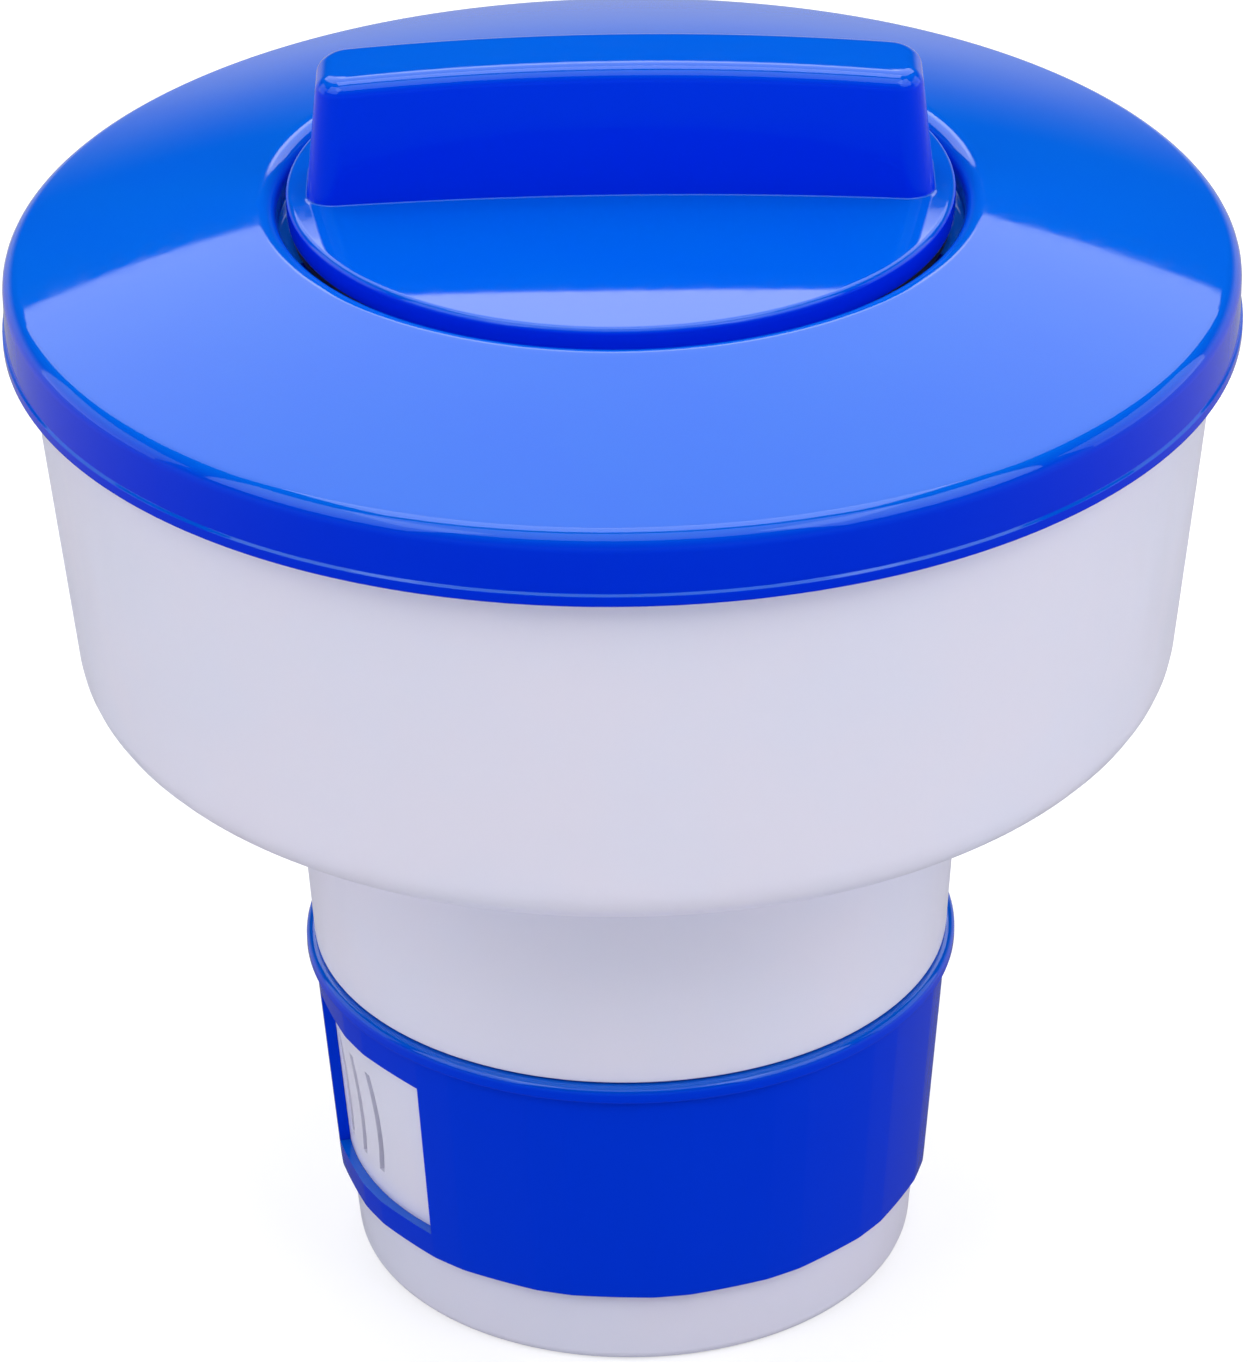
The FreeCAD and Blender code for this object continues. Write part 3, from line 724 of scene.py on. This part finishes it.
def make_canister():
    """Tapered cup with a shoulder above the ring, two groups of slits and a ribbed floor."""
    seat_low = RING_BOTTOM - SEAT_GAP
    seat_high = RING_TOP + SEAT_GAP
    seat_depth = RING_WALL + RING_GAP
    seat_bottom = (ring_radius(seat_low) - seat_depth, seat_low)
    seat_top = (ring_radius(seat_high) - seat_depth, seat_high)
    profile = outline([
        (0, FOOT_RECESS),
        (FOOT_RING_INNER, FOOT_RECESS, ROUND_EDGE),
        (FOOT_RING_INNER + FOOT_RING_SLOPE, 0, ROUND_EDGE),
        (FOOT_RADIUS, 0, FOOT_FILLET),
        seat_bottom,
        (line_at(seat_bottom, seat_top, SLIT_BOTTOM), SLIT_BOTTOM),
        (line_at(seat_bottom, seat_top, SLIT_TOP), SLIT_TOP),
        seat_top,
        (STOP_RADIUS, seat_high, ROUND_EDGE),
        (NECK_RADIUS, BOWL_FLOOR),
        (NECK_RADIUS, NECK_TOP, ROUND_EDGE),
        (NECK_RADIUS - CANISTER_WALL, NECK_TOP, ROUND_EDGE),
        (NECK_RADIUS - CANISTER_WALL, BOWL_FLOOR),
        (canister_radius(SLIT_TOP) - CANISTER_WALL, SLIT_TOP),
        (canister_radius(SLIT_BOTTOM) - CANISTER_WALL, SLIT_BOTTOM),
        (canister_radius(FLOOR_Z) - CANISTER_WALL, FLOOR_Z, FLOOR_FILLET),
        (0, FLOOR_Z),
    ], closed=False)
    wall_radius = line_at(seat_bottom, seat_top, (SLIT_BOTTOM + SLIT_TOP) / 2)
    slit_arc = math.degrees(SLIT_WIDTH / wall_radius)
    slits = []
    for side in (FIRST_SLIT, FIRST_SLIT + 180):
        for step in range(SLITS_PER_WINDOW):
            middle = side - SLIT_PITCH * step
            slits.append((middle - slit_arc / 2, middle + slit_arc / 2))
    angles = angles_with([edge for slit in slits for edge in slit])

    middle_radius = wall_radius - CANISTER_WALL / 2
    outer = rows_between(profile, SLIT_BOTTOM, SLIT_TOP, lambda radius: radius > middle_radius)
    inner = rows_between(profile, SLIT_BOTTOM, SLIT_TOP, lambda radius: radius < middle_radius)
    openings = [(outer, inner, column_span(angles, start, end)) for start, end in slits]

    def wall_row(radius, z):
        """The slits follow an arc, and the wall dips towards each of them."""
        level = max(SLIT_BOTTOM, min(SLIT_TOP, z))
        aside = math.sqrt(SLIT_CURVE ** 2 - (level - SLIT_CURVE_Z) ** 2) - SLIT_CURVE
        swell = 1 - ((2 * level - SLIT_TOP - SLIT_BOTTOM) / (SLIT_TOP - SLIT_BOTTOM)) ** 2

        def row(degrees):
            dip = 0.0
            for start, end in slits:
                before = (start - degrees) % 360
                if radius > middle_radius and before < SCOOP_ARC:
                    share = 1 - before / SCOOP_ARC
                    dip = SCOOP_DEPTH * math.sqrt(swell) * share ** 2
            return on_circle(radius - dip, z, degrees + math.degrees(aside / wall_radius))
        return row

    rows = [wall_row(radius, z) for radius, z in profile]
    cup = skin("canister_cup", rows, angles, WHITE, closed=False, openings=openings)
    ribs = []
    cuts = []
    for step in range(FLOOR_RIBS):
        turn = 360 / FLOOR_RIBS * step
        start = (RIB_REACH[0], -RIB_HALF_WIDTH, FLOOR_Z - RIB_ROOT)
        end = (RIB_REACH[1], RIB_HALF_WIDTH, FLOOR_Z + RIB_HEIGHT)
        ribs.append(box_mesh("rib", start, end, turn, WHITE))
        start = (FLOOR_SLIT_REACH[0], -SLIT_WIDTH / 2, -OVERLAP)
        end = (FLOOR_SLIT_REACH[1], SLIT_WIDTH / 2, FLOOR_Z + OVERLAP)
        cuts.append(box_mesh("slit", start, end, turn + 180 / FLOOR_RIBS, WHITE))
    for side in (STOP_ANGLE, STOP_ANGLE + 180):
        low = RING_BOTTOM + STOP_INSET
        radius = ring_radius(low) - seat_depth
        half = radius * math.radians(STOP_ARC / 2)
        start = (radius - OVERLAP, -half, low)
        end = (radius + STOP_HEIGHT, half, RING_TOP - STOP_INSET)
        ribs.append(box_mesh("stop", start, end, side, WHITE))
    combine(cup, ribs, "UNION")
    combine(cup, cuts, "DIFFERENCE")
    settle(cup, "root", "canister")


# ---- Control ring -----------------------------------------------------------
def facet_share(degrees):
    """Distance to the faceted outline as a share of the ring's mean radius."""
    offset = (degrees - NARROW_FLAT_PHASE + NARROW_FLAT / 2) % FACET_PITCH
    wide_flat = FACET_PITCH - NARROW_FLAT
    if offset <= NARROW_FLAT:
        half = NARROW_FLAT / 2
        from_middle = offset - half
    else:
        half = wide_flat / 2
        from_middle = offset - NARROW_FLAT - half
    corner = 1 / math.cos(math.radians(wide_flat / 4))
    flat = corner * math.cos(math.radians(half)) / math.cos(math.radians(from_middle))
    return 1 + (flat - 1) * FLATNESS


def make_control_ring():
    """Sleeve with a lip, a faceted outside, two windows and two stop pockets."""
    lip_foot = RING_TOP - LIP_HEIGHT
    slope_low = (ring_radius(lip_foot) - LIP_SLOPE, lip_foot - LIP_SLOPE)
    slope_high = (LIP_RADIUS, lip_foot + LIP_RISE)
    pocket_depth = STOP_HEIGHT + POCKET_GAP
    pocket_arc = RING_OPEN_TURN + RING_CLOSED_TURN + STOP_ARC + POCKET_PLAY
    pocket_middle = STOP_ANGLE + (RING_OPEN_TURN - RING_CLOSED_TURN) / 2
    pocket_low = RING_BOTTOM + POCKET_INSET
    pocket_high = RING_TOP - POCKET_INSET
    stops = []
    for step in range(round(360 / FACET_PITCH)):
        middle = NARROW_FLAT_PHASE + step * FACET_PITCH
        for side in (-1, 1):
            corner = middle + side * NARROW_FLAT / 2
            stops.extend((corner - FACET_BLEND, corner + FACET_BLEND))
    windows = []
    for middle in (WINDOW_MIDDLE, WINDOW_MIDDLE + 180):
        windows.append((middle - WINDOW_ARC / 2, middle + WINDOW_ARC / 2))
        stops.extend(windows[-1])
    for side in (0, 180):
        stops.extend(step_stops(pocket_middle + side, pocket_arc))
    angles = angles_with(stops)

    def in_pocket(degrees):
        return any(within(degrees, pocket_middle + side, pocket_arc) for side in (0, 180))

    def facet_row(z):
        def row(degrees):
            return on_circle(ring_radius(z) * facet_share(degrees), z, degrees)
        return row

    def slope_foot(degrees):
        radius = ring_radius(lip_foot) * facet_share(degrees)
        share = (radius - slope_low[0]) / (slope_high[0] - slope_low[0])
        return on_circle(radius, slope_low[1] + share * (slope_high[1] - slope_low[1]), degrees)

    def bore_row(z, depth=0.0):
        def row(degrees):
            reach = depth if in_pocket(degrees) else 0.0
            return on_circle(ring_radius(z) - RING_WALL + reach, z, degrees)
        return row

    def foot_row(inset, rise):
        def row(degrees):
            radius = ring_radius(RING_BOTTOM) * facet_share(degrees) - inset
            return on_circle(radius, RING_BOTTOM + rise, degrees)
        return row

    rows = [bore_row(RING_BOTTOM + RING_EDGE)]
    rows.extend(circle_rows([(ring_radius(RING_BOTTOM) - RING_WALL + RING_EDGE, RING_BOTTOM)]))
    rows.append(foot_row(RING_EDGE, 0.0))
    rows.append(foot_row(RING_EDGE_MIDDLE, RING_EDGE_MIDDLE))
    rows.append(facet_row(RING_BOTTOM + RING_EDGE))
    rows.append(facet_row(RING_BOTTOM + RING_BORDER))
    levels = [WINDOW_BOTTOM, pocket_low - STEP_RISE, pocket_low]
    for step in range(1, 7):
        levels.append(pocket_low + (WINDOW_TOP - pocket_low) * step / 6)
    outer_first = len(rows)
    rows.extend(facet_row(z) for z in levels)
    rows.append(facet_row(WINDOW_TOP + RING_BORDER))
    rows.append(slope_foot)
    rows.extend(circle_rows(outline([
        slope_low,
        (*slope_high, LIP_FOOT_EDGE),
        (LIP_RADIUS, RING_TOP, LIP_TOP_EDGE),
        (RING_TOP_RADIUS - RING_WALL, RING_TOP, SOFT_EDGE),
        (RING_TOP_RADIUS - RING_WALL, RING_TOP - LIP_BORE),
    ], closed=False)[1:-1]))
    rows.append(bore_row(pocket_high + STEP_RISE))
    rows.append(bore_row(pocket_high, pocket_depth))
    inner_first = len(rows)
    for z in reversed(levels):
        rows.append(bore_row(z, pocket_depth if z >= pocket_low else 0.0))
    outer = (outer_first, outer_first + len(levels) - 1)
    inner = (inner_first, inner_first + len(levels) - 1)
    openings = [(outer, inner, column_span(angles, start, end)) for start, end in windows]
    ring = skin("ring_sleeve", rows, angles, RING_PLASTIC, openings=openings)
    settle(ring, "ring", "control_ring")


# ---- Cap --------------------------------------------------------------------
CROWN_RADIUS = (CAP_RADIUS ** 2 + (CAP_CROWN_Z - CAP_EDGE_Z) ** 2) / (2 * (CAP_CROWN_Z - CAP_EDGE_Z))
ARCH_HALF = HANDLE_LENGTH / 2 + HANDLE_ARCH_MARGIN
ARCH_RADIUS = (ARCH_HALF ** 2 + HANDLE_END_DROP ** 2) / (2 * HANDLE_END_DROP)


def crown_z(radius):
    """Height of the cap's low dome."""
    return CAP_CROWN_Z - (CROWN_RADIUS - math.sqrt(CROWN_RADIUS ** 2 - radius ** 2))


def arch_z(x, drop):
    """Height of the handle's arched top."""
    return HANDLE_TOP - drop - (ARCH_RADIUS - math.sqrt(ARCH_RADIUS ** 2 - x ** 2))


def bar_outline(half_x, half_y, corner, degrees):
    """Point of a rounded rectangle that belongs to a direction from the middle."""
    quarter = degrees % 360
    sign_x = 1 if quarter < 90 or quarter > 270 else -1
    sign_y = 1 if quarter < 180 else -1
    folded = min(quarter % 180, 180 - quarter % 180)
    corner = min(corner, half_x, half_y)
    straight_x = half_x - corner
    straight_y = half_y - corner
    if folded <= FLAT_END:
        x = half_x
        y = straight_y * math.sin(math.radians(folded)) / math.sin(math.radians(FLAT_END))
    elif folded <= CORNER_END:
        turn = math.radians(90 * (folded - FLAT_END) / (CORNER_END - FLAT_END))
        x = straight_x + corner * math.cos(turn)
        y = straight_y + corner * math.sin(turn)
    else:
        x = straight_x * math.cos(math.radians(folded)) / math.cos(math.radians(CORNER_END))
        y = half_y
    return (sign_x * x, sign_y * y)


def bar_sizes(z, inset):
    """Half length, half width and corner radius of the tapered bar at a height."""
    length = line_at((HANDLE_LENGTH, CAP_EDGE_Z), (HANDLE_TOP_LENGTH, HANDLE_TOP), z)
    width = line_at((HANDLE_WIDTH, CAP_EDGE_Z), (HANDLE_TOP_WIDTH, HANDLE_TOP), z)
    return (length / 2 - inset, width / 2 - inset, max(HANDLE_END_FILLET - inset, 0.0))


def bar_rows(shrink, foot_height, top_fillet, steps):
    """Rows up the side of the bar, round its top edge and in to the line along its middle."""
    draft = math.atan2(HANDLE_WIDTH - HANDLE_TOP_WIDTH, 2 * (HANDLE_TOP - CAP_EDGE_Z))
    rise = top_fillet * (1 - math.sin(draft))
    rows = []
    for step in range(steps + 1):
        def wall(degrees, share=step / steps):
            x, _ = bar_outline(*bar_sizes(HANDLE_TOP, shrink), degrees)
            low = foot_height(*bar_outline(*bar_sizes(CAP_CROWN_Z, shrink), degrees))
            z = low + share * (arch_z(x, shrink) - rise - low)
            return (*bar_outline(*bar_sizes(max(z, CAP_EDGE_Z), shrink), degrees), z)
        rows.append(wall)
    for step in range(1, 9):
        turn = draft + (math.pi / 2 - draft) * step / 8

        def edge(degrees, turn=turn):
            x, _ = bar_outline(*bar_sizes(HANDLE_TOP, shrink), degrees)
            inset = top_fillet * (math.cos(draft) - math.cos(turn))
            x, y = bar_outline(*bar_sizes(arch_z(x, shrink) - rise, shrink + inset), degrees)
            return (x, y, arch_z(x, shrink) - top_fillet * (1 - math.sin(turn)))
        rows.append(edge)
    for step in range(1, 6):
        def top(degrees, share=step / 5):
            x, _ = bar_outline(*bar_sizes(HANDLE_TOP, shrink), degrees)
            inset = top_fillet * math.cos(draft)
            half_x, half_y, corner = bar_sizes(arch_z(x, shrink) - rise, shrink + inset)
            x, y = bar_outline(half_x - half_y * share, half_y * (1 - share), corner * (1 - share), degrees)
            return (x, y, arch_z(x, shrink))
        rows.append(top)
    return rows


def between(inner_row, outer_row, share, height):
    """A row part of the way from one row to another, at the height that belongs to each point."""
    def row(degrees):
        inner = inner_row(degrees)
        outer = outer_row(degrees)
        x = inner[0] + (outer[0] - inner[0]) * share
        y = inner[1] + (outer[1] - inner[1]) * share
        return (x, y, height(math.hypot(x, y)))
    return row


def make_cap():
    """Domed disc with a hollow grip bar, and a spigot with bayonet lugs."""
    stops = [stop for middle in LUG_ANGLES for stop in step_stops(middle, LUG_ARC)]
    for middle in (0, 180):
        for side in (-1, 1):
            stops.append(middle + side * FLAT_END)
            stops.append(middle + side * CORNER_END)
    angles = angles_with(stops)

    def lug_reach(radius, z, degrees):
        if radius <= SPIGOT_RADIUS or z > LUG_TOP + CLEARANCE:
            return radius
        return radius if any(within(degrees, middle, LUG_ARC) for middle in LUG_ANGLES) else SPIGOT_RADIUS

    foot = HANDLE_FOOT_FILLET
    grip = bar_rows(0.0, lambda x, y: crown_z(math.hypot(x, y)) + foot, HANDLE_TOP_FILLET, 6)
    grip.reverse()
    rows = grip
    for step in range(1, 5):
        turn = math.radians(90 * step / 4)

        def foot_row(degrees, turn=turn):
            reach = foot * (1 - math.cos(turn))
            x, y = bar_outline(*bar_sizes(CAP_CROWN_Z, 0.0), degrees)
            level = crown_z(math.hypot(x, y)) + foot * (1 - math.sin(turn))
            return (*bar_outline(*bar_sizes(level, -reach), degrees), level)
        rows.append(foot_row)
    disc_start = rows[-1]
    rim_radius = CAP_RADIUS - CAP_EDGE_FILLET
    rim_z = crown_z(rim_radius)
    for step in range(1, 13):
        rows.append(between(disc_start, circle_rows([(rim_radius, rim_z)])[0], step / 12, crown_z))
    for step in range(1, 9):
        turn = math.radians(90 * step / 8)
        rows.extend(circle_rows([(rim_radius + CAP_EDGE_FILLET * math.sin(turn),
                                  rim_z - CAP_EDGE_FILLET * (1 - math.cos(turn)))]))
    spigot_inner = SPIGOT_RADIUS - SPIGOT_WALL
    ceiling = CAP_EDGE_Z - CAP_WALL
    under = outline([
        (CAP_RADIUS, rim_z - CAP_EDGE_FILLET),
        (CAP_RADIUS, CAP_UNDERSIDE, ROUND_EDGE),
        (SPIGOT_RADIUS, CAP_UNDERSIDE, SOFT_EDGE),
        (SPIGOT_RADIUS, LUG_TOP),
        (LUG_RADIUS, LUG_TOP, SOFT_EDGE),
        (LUG_RADIUS, LUG_BOTTOM, SOFT_EDGE),
        (SPIGOT_RADIUS, LUG_BOTTOM),
        (SPIGOT_RADIUS, SPIGOT_BOTTOM, SPIGOT_EDGE),
        (spigot_inner, SPIGOT_BOTTOM, SPIGOT_EDGE),
        (spigot_inner, ceiling, CEILING_FILLET),
        (spigot_inner - CEILING_BORDER, ceiling),
    ], closed=False)[1:]
    rows.extend(circle_rows(under, lug_reach))
    ceiling_edge = rows[-1]
    cavity = bar_rows(HANDLE_WALL, lambda x, y: ceiling, HANDLE_CAVITY_EDGE, 5)
    for step in range(1, 6):
        rows.append(between(ceiling_edge, cavity[0], step / 6, lambda radius: ceiling))
    rows.extend(cavity)
    cap = skin("cap_moulding", rows, angles, CAP_PLASTIC, closed=False)
    settle(cap, "cap", "cap")


# ---- Foam and seals ---------------------------------------------------------
def make_foam_float():
    """Ring of bead foam inside the float."""
    wall = BOWL_WALL + FOAM_GAP
    low = BOWL_FLOOR + wall
    high = COLLAR_BOTTOM - FOAM_TOP_GAP
    inner = COLLAR_OUTER + SEAT_GAP
    piece = lathe("foam_ring", [
        (inner, low, FOAM_EDGE),
        (bowl_radius(low) - wall, low, BOWL_FILLET),
        (bowl_radius(high) - wall, high, FOAM_SHOULDER),
        (inner, high, FOAM_EDGE),
    ], FOAM)
    settle(piece, "root", "foam_float")


def make_flat_seal(name, node, inner, low, high):
    """Square-section ring with softened corners."""
    seal = lathe(name, [
        (inner, low, SOFT_EDGE),
        (inner + SEAL_WIDTH, low, SOFT_EDGE),
        (inner + SEAL_WIDTH, high, SOFT_EDGE),
        (inner, high, SOFT_EDGE),
    ], RUBBER)
    settle(seal, "root", node)


def make_cap_seal():
    """O-ring round the spigot, with the fine flash line of its mould."""
    section = CAP_SEAL_CORD / 2
    middle = SPIGOT_RADIUS + section + RING_GAP
    height = FLANGE_TOP + section + RING_GAP
    points = []
    for step in range(24):
        turn = math.radians(15 * step)
        reach = section - SEAL_FLASH if step % 12 else section
        points.append((middle + reach * math.cos(turn), height + reach * math.sin(turn)))
    seal = skin("o_ring", circle_rows(points), angles_with(()), RUBBER)
    settle(seal, "lifted_seal", "cap_seal")


make_float_cover()
make_gate_mark()
make_float_bowl()
make_canister()
make_control_ring()
make_cap()
make_foam_float()
make_flat_seal("rim_gasket", "rim_seal", bowl_radius(BOWL_RIM_Z) - SEAL_INSET, BOWL_RIM_Z, SEAL_SEAT)
make_flat_seal("neck_gasket", "neck_seal", NECK_RADIUS - SEAL_INSET, NECK_TOP, COLLAR_SEAT)
make_cap_seal()


# ---- Floor ------------------------------------------------------------------
FLOOR_RADIUS = 40.0
FLOOR_DARK = (0.50, 0.50, 0.51, 1)
FLOOR_LIGHT = (0.52, 0.52, 0.53, 1)


def make_floor():
    """Wide pale sweep under the dispenser."""
    shape = bmesh.new()
    bmesh.ops.create_circle(shape, cap_ends=True, radius=FLOOR_RADIUS, segments=96)
    material, graph, shader, place = new_material("pale_floor")
    tone = graph.ramp(graph.noise(place, 3.0), 0.3, 0.7)
    graph.set(shader, "Base Color", graph.blend(tone, FLOOR_DARK, FLOOR_LIGHT))
    graph.set(shader, "Roughness", 0.9)
    graph.set(shader, "Emission Color", (1.0, 1.0, 1.0, 1))
    seen = graph.add("ShaderNodeLightPath").outputs["Is Camera Ray"]
    graph.set(shader, "Emission Strength", graph.ramp(seen, 0.0, 1.0, 0.2, 0.55))
    graph.set(shader, "Specular IOR Level", 0.0)
    floor = object_from(shape, "studio_floor", material)
    floor.visible_glossy = False


make_floor()


# ---- Light ------------------------------------------------------------------
AIM = Vector((0.0, 0.0, 0.107))
PANEL_DISTANCE = 3.2


def soft_light(name, azimuth, elevation, width, height, radiance):
    """Large soft panel facing the dispenser, sized in degrees.

    Azimuth runs from the front (-Y) towards +X."""
    turn = math.radians(azimuth)
    rise = math.radians(elevation)
    away = Vector((math.sin(turn) * math.cos(rise), -math.cos(turn) * math.cos(rise), math.sin(rise)))
    light = bpy.data.lights.new(name, "AREA")
    light.shape = "RECTANGLE"
    light.size = 2 * PANEL_DISTANCE * math.tan(math.radians(width / 2))
    light.size_y = 2 * PANEL_DISTANCE * math.tan(math.radians(height / 2))
    light.energy = radiance * math.pi * light.size * light.size_y
    panel = bpy.data.objects.new(name, light)
    panel.location = AIM + away * PANEL_DISTANCE
    panel.rotation_euler = away.to_track_quat("Z", "Y").to_euler()
    panel.visible_camera = False
    bpy.context.scene.collection.objects.link(panel)


soft_light("back_panel", 180, 51.4, 70, 45.8, 1.95)
soft_light("back_glow", 180, 34, 20, 8.4, 1.3)
soft_light("top_panel", 180, 84, 50, 24, 3.6)
soft_light("front_panel", 0, 58, 70, 34, 1.7)
soft_light("front_left_panel", -58, 36, 40, 36, 2.0)
soft_light("front_right_panel", 58, 36, 40, 36, 2.3)
soft_light("left_panel", -105, 14, 36, 30, 1.0)
soft_light("right_panel", 105, 14, 36, 30, 1.1)


def make_world():
    """Dim studio with a pale glow along the horizon; the camera sees a plain pale backdrop."""
    world = bpy.data.worlds.new("studio")
    world.use_nodes = True
    graph = Graph(world.node_tree)
    graph.nodes.clear()
    direction = graph.add("ShaderNodeTexCoord").outputs["Generated"]
    height = graph.add("ShaderNodeSeparateXYZ", Vector=direction).outputs["Z"]
    above = graph.ramp(height, math.sin(math.radians(-4)), math.sin(math.radians(14)), 0.56, 0.01)
    below = graph.ramp(height, math.sin(math.radians(-38)), math.sin(math.radians(-20)), -0.45, 0.0)
    seen = graph.add("ShaderNodeLightPath").outputs["Is Camera Ray"]
    shade = graph.blend(seen, (1, 1, 1, 1), (0.9, 0.9, 0.92, 1))
    strength = graph.maths("MAXIMUM", graph.maths("ADD", above, below), seen)
    backdrop = graph.add("ShaderNodeBackground", Color=shade, Strength=strength)
    out = graph.add("ShaderNodeOutputWorld")
    graph.links.new(backdrop.outputs[0], out.inputs[0])
    bpy.context.scene.world = world


make_world()
bpy.context.scene.view_settings.view_transform = "Standard"


# ---- Camera -----------------------------------------------------------------
CAMERA_PLACE = Vector((0.0, -1.00147, 0.67176))
CAMERA_PITCH = 29.443
CAMERA_YAW = -0.037
CAMERA_ROLL = -0.78
CAMERA_LENS = 179.4
CAMERA_SENSOR = 36.0
CAMERA_CLIP = 0.05


def make_camera():
    """Long lens looking down at the front."""
    pitch = math.radians(CAMERA_PITCH)
    yaw = math.radians(CAMERA_YAW)
    roll = math.radians(CAMERA_ROLL)
    forward = Vector((math.sin(yaw) * math.cos(pitch), math.cos(yaw) * math.cos(pitch), -math.sin(pitch)))
    right = Vector((math.cos(yaw), -math.sin(yaw), 0.0))
    up = right.cross(forward)
    turned_right = right * math.cos(roll) + up * math.sin(roll)
    turned_up = up * math.cos(roll) - right * math.sin(roll)
    lens = bpy.data.cameras.new("camera")
    lens.lens = CAMERA_LENS
    lens.sensor_width = CAMERA_SENSOR
    lens.clip_start = CAMERA_CLIP
    camera = bpy.data.objects.new("camera", lens)
    basis = Matrix((turned_right, turned_up, -forward)).transposed().to_4x4()
    camera.matrix_world = Matrix.Translation(CAMERA_PLACE) @ basis
    bpy.context.scene.collection.objects.link(camera)
    bpy.context.scene.camera = camera


make_camera()
